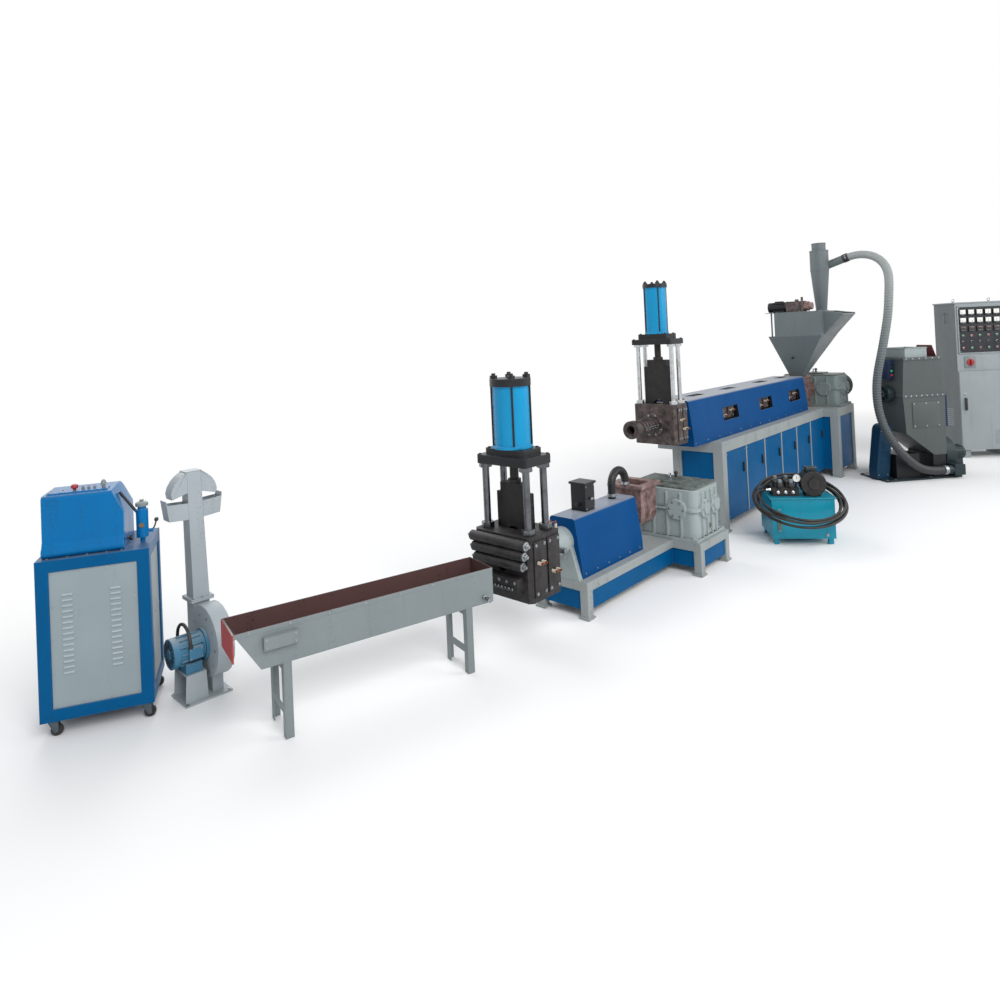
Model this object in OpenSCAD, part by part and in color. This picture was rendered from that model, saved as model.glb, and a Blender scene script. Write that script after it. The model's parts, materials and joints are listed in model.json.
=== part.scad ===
// Two-stage plastic recycling and pelletising line: crusher, main extruder,
// second extruder, water trough, blower and strand pelletizer, with the
// hydraulic unit and control cabinet. Millimetres, +Z up, floor at z = 0.
// The origin is under the second extruder's front left foot.

/* [Second extruder] */
// Length of the frame along the line
second_len = 1620; // [1580:10:1700]
// Length of the wing that carries the gearbox
second_wing_len = 490; // [470:10:520]
// Width of the narrow part of the frame
second_w = 420; // [400:10:460]
// How far the wing juts towards the front
second_wing_jut = 230; // [180:10:260]
// Height of the frame's deck above the floor
second_h = 240; // [220:5:260]
// Height of the barrel's axis above the floor
second_axis_z = 475; // [460:5:490]
// Diameter of the barrel with its insulation
second_barrel_d = 180; // [160:5:190]

/* [Main extruder] */
// Place of the left end of the base along the line
main_x = 2220; // [2200:10:2400]
// Place of the axis across the line
main_y = 370; // [350:10:400]
// Length of the base
main_len = 3480; // [3380:10:3560]
// Length of the wing that carries the gearbox
main_wing_len = 660; // [640:10:680]
// Width of the base's platform
main_w = 640; // [620:10:680]
// How far the platform reaches past the panels at the back
main_overhang = 150; // [100:10:180]
// How far the wing juts towards the front
main_wing_jut = 160; // [120:10:240]
// Height of the platform above the floor
main_h = 810; // [790:5:830]
// Height of the barrel's axis above the floor
main_axis_z = 1030; // [1020:5:1040]
// Diameter of the barrel with its insulation
main_barrel_d = 200; // [180:5:210]

/* [Screen changers] */
// Travel of the slide plates
slide_travel = 150; // [100:10:160]
// Thickness of the slide plates
slide_t = 60; // [50:2:70]
// Width of the slide plates
slide_w = 250; // [220:10:256]
// Clearance of the slide plates and piston rods
slide_gap = 1; // [0.5:0.1:2]
// Diameter of the piston rods
rod_d = 55; // [45:1:60]
// Diameter of the screens in the slide plates
screen_d = 110; // [90:5:120]

/* [Trough] */
// Length of the trough at its rim
trough_len = 1400; // [1300:10:1500]
// Width of the trough
trough_w = 240; // [220:10:260]
// Height of the trough's sides
trough_h = 190; // [170:5:210]
// Height of the trough's bottom above the floor
trough_z = 357; // [340:1:380]
// Thickness of the trough's sheet
trough_t = 4; // [3:0.5:6]
// How far the sloped end leans out
trough_slope = 120; // [80:10:160]

/* [Pelletizer] */
// Width of the pelletizer's frame
pell_w = 500; // [480:10:560]
// Depth of the pelletizer's frame
pell_d = 420; // [400:10:460]
// Height of the deck above the floor
pell_h = 860; // [840:5:880]
// Side of the frame's square tube
pell_tube = 58; // [50:1:62]
// Height of the cutter hood
hood_h = 300; // [280:5:320]
// Length of the cutter hood at the deck
hood_len = 360; // [340:5:380]
// Diameter of the caster wheels
wheel_d = 55; // [50:1:58]
// Louvres in each column of the front panel
louvres = 15; // [10:1:18]

/* [Blower] */
// Width of the volute along its shaft
volute_w = 90; // [80:5:110]
// Height of the fan's shaft above the floor
fan_z = 260; // [250:5:280]
// Height of the duct's top above the floor
duct_top = 1170; // [1120:10:1220]

/* [Hopper] */
// Side of the hopper's square top
hopper_w = 610; // [580:10:680]
// Height of the hopper's upright part
hopper_upright = 280; // [240:10:300]
// Height of the hopper's tapered part
hopper_taper = 500; // [460:10:520]
// Thickness of the hopper's sheet
hopper_t = 4; // [3:0.5:6]
// Diameter of the cyclone
cyclone_d = 210; // [200:5:260]
// Diameter of the conveying hose and its pipes
hose_d = 95; // [90:1:100]

/* [Crusher] */
// Height of the crusher's body above the floor
crusher_h = 1390; // [1350:10:1430]
// Depth of the crusher's body
crusher_d = 420; // [380:10:440]
// Diameter of the flywheel
flywheel_d = 200; // [180:5:220]

/* [Cabinet] */
// Width of the control cabinet
cabinet_w = 700; // [650:10:750]
// Depth of the control cabinet
cabinet_d = 450; // [400:10:500]
// Height of the control cabinet with its plinth
cabinet_h = 2000; // [1950:10:2050]
// Height of the lower door's top above the floor
door_top = 1120; // [1050:10:1200]

/* [Hidden] */
$fn = 48;
// Gap at a seat, overlap of joined shapes and depth past a cut
seat = 0.3;
pad = 1;

// Extruder bases
leg = 60;
foot_pad = 80;
foot_t = 14;
second_x = -leg / 2;
axis_y = second_w / 2 - leg / 2;
second_rail = 62;
second_panel_z = 56;
deck_t = 6;
main_leg = 90;
main_rail = 100;
main_rail_w = 120;
main_panel_z = 90;
main_doors = 6;
door_slit = 8;
panel_t = 4;
panel_in = 12;
second_plan = [second_len, second_w / 2, second_w / 2, second_wing_len, second_wing_jut];
main_plan = [main_len, main_w / 2, main_w / 2, main_wing_len, main_wing_jut];
main_lower = [main_len, main_w / 2, main_w / 2 - main_overhang, main_wing_len, main_wing_jut];

// Gearboxes: place along and across the base, top height, wall of ribs and flanges
second_gear_x = [second_len - second_wing_len, second_len - 30];
second_gear_y = [-420, 200];
second_gear_z = 620;
main_gear_x = [main_len - 480, main_len - 20];
main_gear_y = [-460, 240];
main_gear_z = 1180;
flange_out = 18;
flange_t = 26;
gear_round = 60;
lid_h = 34;
throat_x = main_gear_x[0] - 150;
throat_half = 130;
throat_top = 1190;
throat_bore = 120;
// The feed opening is off to the side where the screw turns down
neck_y = -40;
pulley_d = 300;
pulley_w = 120;
pulley_grooves = 5;
pulley_y = -300;

// Barrel covers: ends along the barrel, half widths at foot and top, top height
second_cover_x = [40, second_gear_x[0] - 330];
second_cover_half = [150, 105];
second_cover_z = 625;
main_cover_x = [-330, throat_x - 260];
main_cover_len = main_cover_x[1] - main_cover_x[0];
main_cover_half = [222, 185];
main_cover_z = 1210;
cover_round = 24;
cover_skirt = 70;
window_x = [for (k = [0.28, 0.58, 0.87]) main_cover_x[0] + k * main_cover_len];
window_size = [340, 120];
window_z = 1020;
window_deep = 70;
slot_x = [for (k = [0.17, 0.42, 0.71, 0.93]) main_cover_x[0] + k * main_cover_len];
slot_size = [260, 90];
slot_deep = 15;

// Screen changers by stage: the second extruder's first, then the main one's
die_x = [-420, -490];
die_size = [[300, 450, 380], [220, 400, 340]];
die_z = [second_axis_z, main_axis_z];
post_at = [[82, 163], [58, 160]];
post_d = [44, 36];
crown_low = [[250, 400, 55], [240, 380, 45]];
crown_high = [[200, 310, 40], [190, 285, 45]];
crown_z = [1065, 1715];
press_d = [225, 182];
press_h = [380, 400];
cap_d = [256, 208];
cap_h = [48, 34];
stud_d = [26, 20];
slide_top = [945, 1580];
neck_h = 60;
channel_d = 70;
rod_end = 60;
nozzle_len = 390;
nozzle_d = 118;

// Stations that stand beside the line
trough_at = [-788, 170];
trough_yaw = -14.5;
pell_at = [-2724, 1280];
pell_yaw = -28;
blower_at = [-2055, 1116];
blower_yaw = -2;
hydraulic_at = [2134, -399];
hydraulic_yaw = -56;
crusher_at = [5560, -760];
crusher_yaw = -40;
cabinet_at = [6960, -1030];
cabinet_yaw = -50;

// Placing and basic shapes

module station(at, yaw) { translate([at[0], at[1], 0]) rotate(yaw) children(); }
module at_second() { station([second_x, axis_y], 0) children(); }
module at_main() { station([main_x, main_y], 0) children(); }
module at_trough() { station(trough_at, trough_yaw) children(); }
module at_pelletizer() { station(pell_at, pell_yaw) children(); }
module at_blower() { station(blower_at, blower_yaw) children(); }
module at_hydraulic() { station(hydraulic_at, hydraulic_yaw) children(); }
module at_crusher() { station(crusher_at, crusher_yaw) children(); }
module at_cabinet() { station(cabinet_at, cabinet_yaw) children(); }

module span(low, high) { translate(low) cube(high - low); }
module bar_x(d, from, to) { translate(from) rotate([0, 90, 0]) cylinder(d = d, h = to - from[0]); }
module bar_y(d, from, to) { translate(from) rotate([-90, 0, 0]) cylinder(d = d, h = to - from[1]); }
module bar_z(d, from, to) { translate(from) cylinder(d = d, h = to - from[2]); }
// A straight bar between two points
module bar(d, a, b) {
    v = b - a;
    translate(a) rotate([0, acos(v[2] / norm(v)), atan2(v[1], v[0])]) cylinder(d = d, h = norm(v));
}
// An outline in X and Z, extruded in Y from y[0] to y[1]
module slab_y(points, y) {
    translate([0, y[1], 0]) rotate([90, 0, 0]) linear_extrude(y[1] - y[0]) polygon(points);
}
// An outline in Y and Z, extruded in X from x[0] to x[1]
module slab_x(points, x) {
    translate([x[0], 0, 0]) rotate([90, 0, 90]) linear_extrude(x[1] - x[0]) polygon(points);
}
function arc(c, r, a, steps) =
    [for (k = [0 : steps]) let (turn = a[0] + (a[1] - a[0]) * k / steps) c + r * [cos(turn), sin(turn)]];
// A rectangle with rounded corners, as points
function round_rect(low, high, r) = concat(
    arc([low[0] + r, low[1] + r], r, [180, 270], 5), arc([high[0] - r, low[1] + r], r, [270, 360], 5),
    arc([high[0] - r, high[1] - r], r, [0, 90], 5), arc([low[0] + r, high[1] - r], r, [90, 180], 5)
);

// Extruder bases: a plan with a wing at the drive end

function wing_start(plan) = plan[0] - plan[3];
function base_plan(plan, inset) = [
    [inset, -plan[1] + inset], [wing_start(plan) + inset, -plan[1] + inset],
    [wing_start(plan) + inset, -plan[1] - plan[4] + inset], [plan[0] - inset, -plan[1] - plan[4] + inset],
    [plan[0] - inset, plan[2] - inset], [inset, plan[2] - inset]
];
function base_corners(plan, size) = [
    [0, -plan[1]], [0, plan[2] - size], [wing_start(plan), -plan[1] - plan[4]],
    [plan[0] - size, -plan[1] - plan[4]], [plan[0] - size, plan[2] - size], [wing_start(plan), plan[2] - size]
];
module base_ring(plan, outer, inner, z) {
    translate([0, 0, z[0]]) linear_extrude(z[1] - z[0]) difference() {
        polygon(base_plan(plan, outer));
        polygon(base_plan(plan, inner));
    }
}
module base_legs(plan, size, top) {
    for (c = base_corners(plan, size)) translate([c[0], c[1], 0]) cube([size, size, top]);
}
module base_feet(plan, size, wide) {
    out = (wide - size) / 2;
    for (c = base_corners(plan, size)) translate([c[0] - out, c[1] - out, 0]) cube([wide, wide, foot_t]);
}
module base_deck(plan, inset, top) {
    translate([0, 0, top - deck_t]) linear_extrude(deck_t) polygon(base_plan(plan, inset));
}

module second_frame() {
    color("silver") at_second() {
        base_ring(second_plan, 0, leg, [second_h - second_rail, second_h]);
        base_deck(second_plan, leg - pad, second_h);
        base_legs(second_plan, leg, second_h - second_rail + pad);
        base_feet(second_plan, leg, foot_pad);
    }
}
module second_panels() {
    color("royalblue") at_second() difference() {
        base_ring(second_plan, panel_in, panel_in + panel_t, [second_panel_z, second_h - second_rail]);
        base_legs(second_plan, leg, second_h);
    }
}
module main_frame() {
    color("silver") at_main() {
        base_ring(main_plan, 0, main_rail_w, [main_h - main_rail, main_h]);
        base_deck(main_plan, main_rail_w - pad, main_h);
        base_legs(main_lower, main_leg, main_h - main_rail + pad);
        span([0, main_lower[2] - main_leg, main_h - main_rail],
            [main_len, main_lower[2], main_h - deck_t + pad]);
        base_feet(main_lower, main_leg, main_leg + 2 * foot_t);
    }
}
module main_panels() {
    front = -main_lower[1];
    first = main_leg;
    pitch = (wing_start(main_lower) - first) / main_doors;
    color("royalblue") at_main() difference() {
        base_ring(main_lower, panel_in, panel_in + panel_t, [main_panel_z, main_h - main_rail]);
        base_legs(main_lower, main_leg, main_h);
        for (k = [1 : main_doors - 1])
            span([first + k * pitch - door_slit / 2, front - pad, main_panel_z + 40],
                [first + k * pitch + door_slit / 2, front + panel_in + panel_t + pad,
                    main_h - main_rail - 40]);
    }
}

// Screen changer: block, posts, crown plates, press cylinder and slide, about its own centre line

function die_low(s) = die_z[s] - die_size[s][2] / 2;
function die_top(s) = die_z[s] + die_size[s][2] / 2;
function crown_mid(s) = crown_z[s] + crown_low[s][2];
function crown_top(s) = crown_mid(s) + crown_high[s][2];
function press_top(s) = crown_top(s) + press_h[s];

module at_die(s) {
    if (s == 0) at_second() translate([die_x[s], 0, 0]) children();
    else at_main() translate([die_x[s], 0, 0]) children();
}
module nut(d, at, h) { translate(at) cylinder(d = 1.9 * d, h = h, $fn = 6); }
module die_block(s, edge) {
    half = die_size[s] / 2;
    slot = [slide_t / 2 + slide_gap, slide_w / 2 + slide_gap];
    plan = [
        [-half[0] + edge, -half[1]], [half[0] - edge, -half[1]], [half[0], -half[1] + edge],
        [half[0], half[1] - edge], [half[0] - edge, half[1]], [-half[0] + edge, half[1]],
        [-half[0], half[1] - edge], [-half[0], -half[1] + edge]
    ];
    difference() {
        translate([0, 0, die_low(s)]) linear_extrude(die_size[s][2]) polygon(plan);
        translate([-slot[0], -slot[1], die_low(s) - pad])
            cube([2 * slot[0], 2 * slot[1], die_size[s][2] + 2 * pad]);
        bar_x(channel_d, [-half[0] - pad, 0, die_z[s]], half[0] + pad);
    }
}
module tie_rods(s) {
    for (sx = [-1, 1], sy = [-1, 1]) {
        at = [sx * post_at[s][0], sy * post_at[s][1]];
        bar_z(post_d[s], [at[0], at[1], die_top(s)], crown_z[s]);
        nut(post_d[s], [at[0], at[1], die_top(s)], post_d[s] * 0.8);
        nut(post_d[s], [at[0], at[1], crown_z[s] - post_d[s] * 0.6], post_d[s] * 0.6);
    }
}
module crown_plates(s) {
    low = crown_low[s] / 2;
    high = crown_high[s] / 2;
    difference() {
        union() {
            translate([0, 0, crown_z[s]]) linear_extrude(crown_low[s][2])
                polygon(round_rect([-low[0], -low[1]], [low[0], low[1]], 18));
            translate([0, 0, crown_mid(s)]) linear_extrude(crown_high[s][2])
                polygon(round_rect([-high[0], -high[1]], [high[0], high[1]], 30));
        }
        bar_z(rod_d + 2 * slide_gap, [0, 0, crown_z[s] - pad], crown_top(s) + pad);
    }
}
module press_cylinder(s) {
    stud_ring = cap_d[s] / 2 - stud_d[s];
    difference() {
        union() {
            bar_z(cap_d[s] * 0.98, [0, 0, crown_top(s)], crown_top(s) + 18);
            bar_z(press_d[s], [0, 0, crown_top(s)], press_top(s));
            bar_z(cap_d[s], [0, 0, press_top(s)], press_top(s) + cap_h[s]);
            for (a = [45 : 90 : 315]) {
                at = [stud_ring * cos(a), stud_ring * sin(a), press_top(s) + cap_h[s] - pad];
                bar_z(stud_d[s], at, at[2] + stud_d[s] + 8);
                nut(stud_d[s], at, stud_d[s] * 0.8);
            }
        }
        bar_z(rod_d + 2 * slide_gap, [0, 0, crown_top(s) - pad], press_top(s) - rod_end / 2);
    }
}
// The plate carries two screens a travel apart, so one is always in the channel
module screen_slide(s) {
    plate_low = die_z[s] - screen_d;
    neck_z = slide_top[s] - neck_h;
    difference() {
        translate([-slide_t / 2, -slide_w / 2, plate_low]) cube([slide_t, slide_w, neck_z - plate_low]);
        for (z = [0, slide_travel]) bar_x(screen_d, [-slide_t, 0, die_z[s] + z], slide_t);
    }
    translate([-slide_t / 2, -slide_w * 0.38, neck_z]) cube([slide_t, slide_w * 0.76, neck_h]);
    bar_z(rod_d * 1.5, [0, 0, slide_top[s] - pad], slide_top[s] + 24);
    bar_z(rod_d, [0, 0, slide_top[s]], press_top(s) - rod_end);
}

module second_die_block() {
    half = die_size[0] / 2;
    pipe_d = 62;
    color("dimgray") at_die(0) {
        die_block(0, 24);
        // Heater pipes across the strand side, and the strand die below them
        for (k = [0 : 2])
            bar_y(pipe_d, [-half[0] - pipe_d * 0.4, -half[1] + 10 + 14 * k, die_top(0) - 36 - pipe_d * k],
                half[1] - 10 - 14 * k);
        span([-half[0] - 60, -170, die_low(0) + 60], [-half[0] + pad, 170, die_low(0) + 150]);
        bar_x(260, [half[0] - pad, 0, die_z[0]], half[0] + 40);
    }
}
module second_tie_rods() { color("silver") at_die(0) tie_rods(0); }
module second_crown_plates() { color("darkslategray") at_die(0) crown_plates(0); }
module second_cylinder() { color("dodgerblue") at_die(0) press_cylinder(0); }
module second_screen_slide() { color("dimgray") at_die(0) screen_slide(0); }
module main_die_block() {
    half = die_size[1] / 2;
    color("dimgray") at_die(1) {
        die_block(1, 20);
        difference() {
            union() {
                bar_x(nozzle_d, [-half[0] - nozzle_len, 0, die_z[1]], -half[0] + pad);
                bar_x(nozzle_d * 1.7, [-half[0] - 40, 0, die_z[1]], -half[0] + pad);
                bar_x(nozzle_d * 1.25, [-half[0] - nozzle_len, 0, die_z[1]], -half[0] - nozzle_len + 60);
            }
            bar_x(channel_d, [-half[0] - nozzle_len - pad, 0, die_z[1]], 0);
        }
    }
}
module main_tie_rods() { color("silver") at_die(1) tie_rods(1); }
module main_crown_plates() { color("darkslategray") at_die(1) crown_plates(1); }
module main_cylinder() { color("dodgerblue") at_die(1) press_cylinder(1); }
module main_screen_slide() { color("dimgray") at_die(1) screen_slide(1); }

// Barrels, their covers and the cast gearboxes

// A cover's section: upright skirt, sides that lean in, rounded top corners
module barrel_cover(x, half, z, axis_z, barrel_d) {
    r = cover_round;
    top = arc([half[1] - r, z[1] - r], r, [15, 90], 5);
    right = concat([[half[0], z[0]], [half[0], z[0] + cover_skirt]], top);
    left = [for (k = [len(right) - 1 : -1 : 0]) [-right[k][0], right[k][1]]];
    difference() {
        slab_x(concat(right, left), x);
        bar_x(barrel_d + 2 * seat, [x[0] - pad, 0, axis_z], x[1] + pad);
    }
}
// A cast housing: foot flange, rounded body, split flange, ribs, bearing caps and lid
module cast_gearbox(x, y, z, split_z, ribs) {
    inner = [[x[0] + flange_out, y[0] + flange_out], [x[1] - flange_out, y[1] - flange_out]];
    body_len = inner[1][0] - inner[0][0];
    body_w = inner[1][1] - inner[0][1];
    span([x[0], y[0], z[0]], [x[1], y[1], z[0] + flange_t]);
    translate([0, 0, z[0]]) linear_extrude(z[1] - z[0]) polygon(round_rect(inner[0], inner[1], gear_round));
    translate([0, 0, split_z - flange_t / 2]) linear_extrude(flange_t)
        polygon(round_rect([x[0] + 2, y[0] + 2], [x[1] - 2, y[1] - 2], gear_round));
    translate([0, 0, z[1]]) linear_extrude(lid_h / 2)
        polygon(round_rect(inner[0] + [20, 20], inner[1] - [20, 20], gear_round / 2));
    span([inner[0][0] + body_len * 0.25, inner[0][1] + body_w * 0.3, z[1]],
        [inner[1][0] - body_len * 0.25, inner[1][1] - body_w * 0.3, z[1] + lid_h]);
    for (k = [1 : ribs]) {
        rib_x = inner[0][0] + gear_round + (body_len - 2 * gear_round) * (k - 0.5) / ribs;
        rib_y = inner[0][1] + gear_round + (body_w - 2 * gear_round) * (k - 0.5) / ribs;
        span([rib_x - 8, y[0] + 4, z[0]], [rib_x + 8, inner[0][1] + pad, z[1] - 20]);
        span([x[0] + 4, rib_y - 8, z[0]], [inner[0][0] + pad, rib_y + 8, z[1] - 20]);
    }
    for (k = [0.3, 0.7]) {
        bar_y(body_len * 0.34, [inner[0][0] + body_len * k, y[0] - 8, split_z], inner[0][1] + pad);
        bar_y(body_len * 0.2, [inner[0][0] + body_len * k, y[0] - 20, split_z], inner[0][1] + pad);
    }
    bar_x(body_w * 0.26, [x[0] - 8, inner[0][1] + body_w * 0.25, split_z], inner[0][0] + pad);
}

module second_barrel() {
    support = [[-150, second_h], [150, second_h], [80, second_axis_z], [-80, second_axis_z]];
    flange_x = die_x[0] + die_size[0][0] / 2 + 40;
    color("lightgray") at_second() {
        bar_x(second_barrel_d, [flange_x, 0, second_axis_z], second_gear_x[0]);
        bar_x(second_barrel_d + 40, [flange_x, 0, second_axis_z], flange_x + 36);
        bar_x(second_barrel_d + 26, [flange_x + 90, 0, second_axis_z], flange_x + 120);
        slab_x(support, [second_cover_x[0] - 40, second_cover_x[0]]);
    }
}
module second_barrel_cover() {
    color("royalblue") at_second()
        barrel_cover(second_cover_x, second_cover_half, [second_h, second_cover_z], second_axis_z,
            second_barrel_d);
}
module second_gearbox() {
    color("lightgray") at_second()
        cast_gearbox(second_gear_x, second_gear_y, [second_h, second_gear_z], second_axis_z, 4);
}
// Feed throat over the barrel, with its open mouth
throat_span = [second_gear_x[0] - 280, second_gear_x[0] - 60];
throat_wall = 30;
throat_mouth_z = 690;
module second_feed_throat() {
    x = throat_span;
    half = second_barrel_d / 2 + throat_wall;
    color("rosybrown") at_second() difference() {
        union() {
            span([x[0], -half, second_axis_z], [x[1], half, throat_mouth_z - 25]);
            span([x[0] - throat_wall, -half - throat_wall, throat_mouth_z - 25],
                [x[1] + throat_wall, half + throat_wall, throat_mouth_z]);
            bar_x(2 * half, [x[0], 0, second_axis_z], x[1]);
        }
        bar_x(second_barrel_d + 2 * seat, [x[0] - pad, 0, second_axis_z], x[1] + pad);
        span([x[0] + throat_wall, -half + throat_wall, second_axis_z],
            [x[1] - throat_wall, half - throat_wall, throat_mouth_z + pad]);
    }
}
// Terminal box on the cover, and the arched conduit from the cover to the throat
conduit_d = 56;
conduit_x = [second_cover_x[1] - 150, throat_span[0] + throat_wall / 2 - conduit_d / 2];
conduit_z = 720;
module second_terminal_box() {
    mid = (conduit_x[0] + conduit_x[1]) / 2;
    radius = (conduit_x[1] - conduit_x[0]) / 2;
    color("black") at_second() {
        translate([0, 0, second_cover_z]) linear_extrude(190) polygon(round_rect([230, -62], [345, 62], 8));
        span([222, -70, second_cover_z + 180], [353, 70, second_cover_z + 196]);
        bar_z(conduit_d, [conduit_x[0], 0, second_cover_z], conduit_z);
        bar_z(conduit_d, [conduit_x[1], 0, throat_mouth_z], conduit_z);
        translate([mid, 0, conduit_z]) rotate([90, 0, 0]) rotate_extrude(angle = 180)
            translate([radius, 0]) circle(d = conduit_d);
    }
}

module main_barrel() {
    z = [main_h, throat_top];
    color("gray") at_main() {
        bar_x(main_barrel_d, [die_x[1] + die_size[1][0] / 2, 0, main_axis_z], throat_x - throat_half + pad);
        difference() {
            union() {
                span([throat_x - throat_half, -throat_half, z[0]],
                    [throat_x + throat_half, throat_half, z[1]]);
                span([throat_x - throat_half - 20, -throat_half - 20, z[1] - 24],
                    [throat_x + throat_half + 20, throat_half + 20, z[1]]);
            }
            span([throat_x - throat_bore / 2, neck_y - throat_bore / 2, main_axis_z],
                [throat_x + throat_bore / 2, neck_y + throat_bore / 2, z[1] + pad]);
        }
        bar_x(main_barrel_d + 150, [throat_x + throat_half - pad, 0, main_axis_z], main_gear_x[0]);
    }
}
module main_barrel_cover() {
    front = -main_cover_half[0];
    color("royalblue") at_main() difference() {
        barrel_cover(main_cover_x, main_cover_half, [main_h, main_cover_z], main_axis_z, main_barrel_d);
        for (x = window_x)
            span([x - window_size[0] / 2, front - pad, window_z - window_size[1] / 2],
                [x + window_size[0] / 2, front + window_deep, window_z + window_size[1] / 2]);
        for (x = slot_x)
            span([x - slot_size[0] / 2, -slot_size[1] / 2, main_cover_z - slot_deep],
                [x + slot_size[0] / 2, slot_size[1] / 2, main_cover_z + pad]);
    }
}
module main_gearbox() {
    color("lightgray") at_main()
        cast_gearbox(main_gear_x, main_gear_y, [main_h, main_gear_z], main_axis_z, 4);
}
// Grooved belt pulley on the gearbox's input shaft
module main_pulley() {
    pitch = pulley_w / pulley_grooves;
    r = pulley_d / 2;
    grooves = [for (k = [0 : pulley_grooves - 1])
        let (z = k * pitch) each [[r, z], [r, z + 4], [r - 14, z + 9], [r - 14, z + 15], [r, z + 20]]];
    at = [main_gear_x[1] + 20, pulley_y, main_axis_z];
    color("darkslategray") at_main() translate(at) rotate([0, 90, 0]) {
        rotate_extrude() polygon(concat([[0, 0]], grooves, [[r, pulley_w], [0, pulley_w]]));
        translate([0, 0, -22 + seat]) cylinder(d = 70, h = pulley_w + 52);
    }
}

// Hopper, its feeder drive and the cyclone above

hopper_mid = throat_top + hopper_taper;
hopper_top = hopper_mid + hopper_upright;
hopper_neck = 140;
body_y = -120;
hopper_ledge = 80;
lid_t = 6;
// Feed scoop on the front: span along the line, reach and lip below the lid
scoop_x = [-200, 300];
scoop_reach = 210;
scoop_lip = 45;
strut_d = 18;

// The hopper with t taken off every side: crossed profiles for the taper, a narrower upright part above
module hopper_form(t, extra) {
    top = hopper_w / 2 - t;
    neck = hopper_neck / 2 - t;
    z = [throat_top - extra, hopper_mid];
    along = [[-neck, z[0]], [neck, z[0]], [top, z[1]], [-top, z[1]]];
    across = [[neck_y - neck, z[0]], [neck_y + neck, z[0]], [body_y + top, z[1]], [body_y - top, z[1]]];
    intersection() {
        slab_y(along, [body_y - top, body_y + top]);
        slab_x(across, [-top, top]);
    }
    translate([-top, body_y - top, hopper_mid - hopper_t])
        cube([2 * top, 2 * top - hopper_ledge, hopper_upright + hopper_t + extra]);
}
module main_hopper() {
    front = body_y - hopper_w / 2;
    back = body_y + hopper_w / 2;
    lip = hopper_top - scoop_lip;
    color("darkgray") at_main() translate([throat_x, 0, 0]) {
        difference() {
            union() {
                hopper_form(0, 0);
                span([-hopper_w / 2, front, hopper_mid - hopper_t], [hopper_w / 2, back, hopper_mid]);
            }
            hopper_form(hopper_t, pad);
            span([scoop_x[0], front - pad, hopper_mid],
                [scoop_x[1], front + 2 * hopper_t, hopper_top - lid_t]);
        }
        // Lid with an overhang for the feeder drive
        span([-hopper_w / 2, front, hopper_top], [hopper_w / 2, back + 30, hopper_top + lid_t]);
        strut_y = back - hopper_ledge / 3;
        for (x = [-0.4, 0.4]) bar_z(strut_d, [x * hopper_w, strut_y, hopper_mid - pad], hopper_top + pad);
        // Inclined scoop with two cheeks
        out = front - scoop_reach;
        root = front + hopper_t;
        slab_x([[root, hopper_mid - hopper_t], [root, hopper_mid + hopper_t], [out + 6, lip], [out, lip - 2]],
            scoop_x);
        for (x = scoop_x)
            slab_x([[root, hopper_mid - hopper_t], [out, lip - 2], [out, lip + 20], [root, hopper_top]],
                [x - hopper_t / 2, x + hopper_t / 2]);
    }
}
module hopper_feeder_drive() {
    x = -190;
    axis = 64;
    color("black") at_main() translate([throat_x, body_y, hopper_top + lid_t]) {
        // Motor on its foot, with fan cover and terminal box
        bar_y(108, [x, 100, axis], 290);
        bar_y(122, [x, 285, axis], 318);
        span([x - 45, 130, 0], [x + 45, 260, axis - 40]);
        span([x - 30, 150, axis + 40], [x + 30, 240, axis + 74]);
        // Gear housing, output flange and the two caps on top
        translate([x - 78, -105, 0]) linear_extrude(126) polygon(round_rect([0, 0], [156, 208], 26));
        bar_y(112, [x, -150, axis], -104);
        bar_y(84, [x, -190, axis], -149);
        bar_z(44, [x, -10, 125], 150);
        bar_z(26, [x, -70, 125], 175);
    }
}
cyclone_at = [throat_x + 195, body_y - 170];
cyclone_cone = 500;
cyclone_drum = 240;
cyclone_cap = 90;
cyclone_wall = 4;
inlet_z = 565;
inlet_len = 185;
inlet_rise = 60;
inlet_x = cyclone_d / 2 - hose_d / 2;
inlet_in = 40;
inlet_a = [inlet_x, -inlet_in, inlet_z - (cyclone_d / 2 - inlet_in) * inlet_rise / inlet_len];
inlet_b = [inlet_x, -cyclone_d / 2 - inlet_len, inlet_z + inlet_rise];
inlet_dir = (inlet_b - inlet_a) / norm(inlet_b - inlet_a);
module cyclone() {
    r = cyclone_d / 2;
    foot_r = 62;
    drum = cyclone_cone + cyclone_drum;
    w = cyclone_wall;
    cap_r = r * 0.75;
    top = drum + cyclone_cap;
    profile = [
        [foot_r - w, 0], [foot_r + 14, 0], [foot_r + 14, 6], [foot_r, 6], [r, cyclone_cone], [r, drum],
        [cap_r, drum + 4], [cap_r, top], [0, top], [0, top - w],
        [cap_r - w, top - w], [cap_r - w, drum], [r - w, drum - w], [r - w, cyclone_cone + 1]
    ];
    color("darkgray") at_main() translate([cyclone_at[0], cyclone_at[1], hopper_top + lid_t]) {
        rotate_extrude() polygon(profile);
        difference() {
            bar(hose_d, inlet_a, inlet_b);
            bar(hose_d - 2 * w, inlet_a - pad * inlet_dir, inlet_b + pad * inlet_dir);
            cylinder(r = r - w, h = drum);
        }
    }
}

// Trough on its legs

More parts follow.
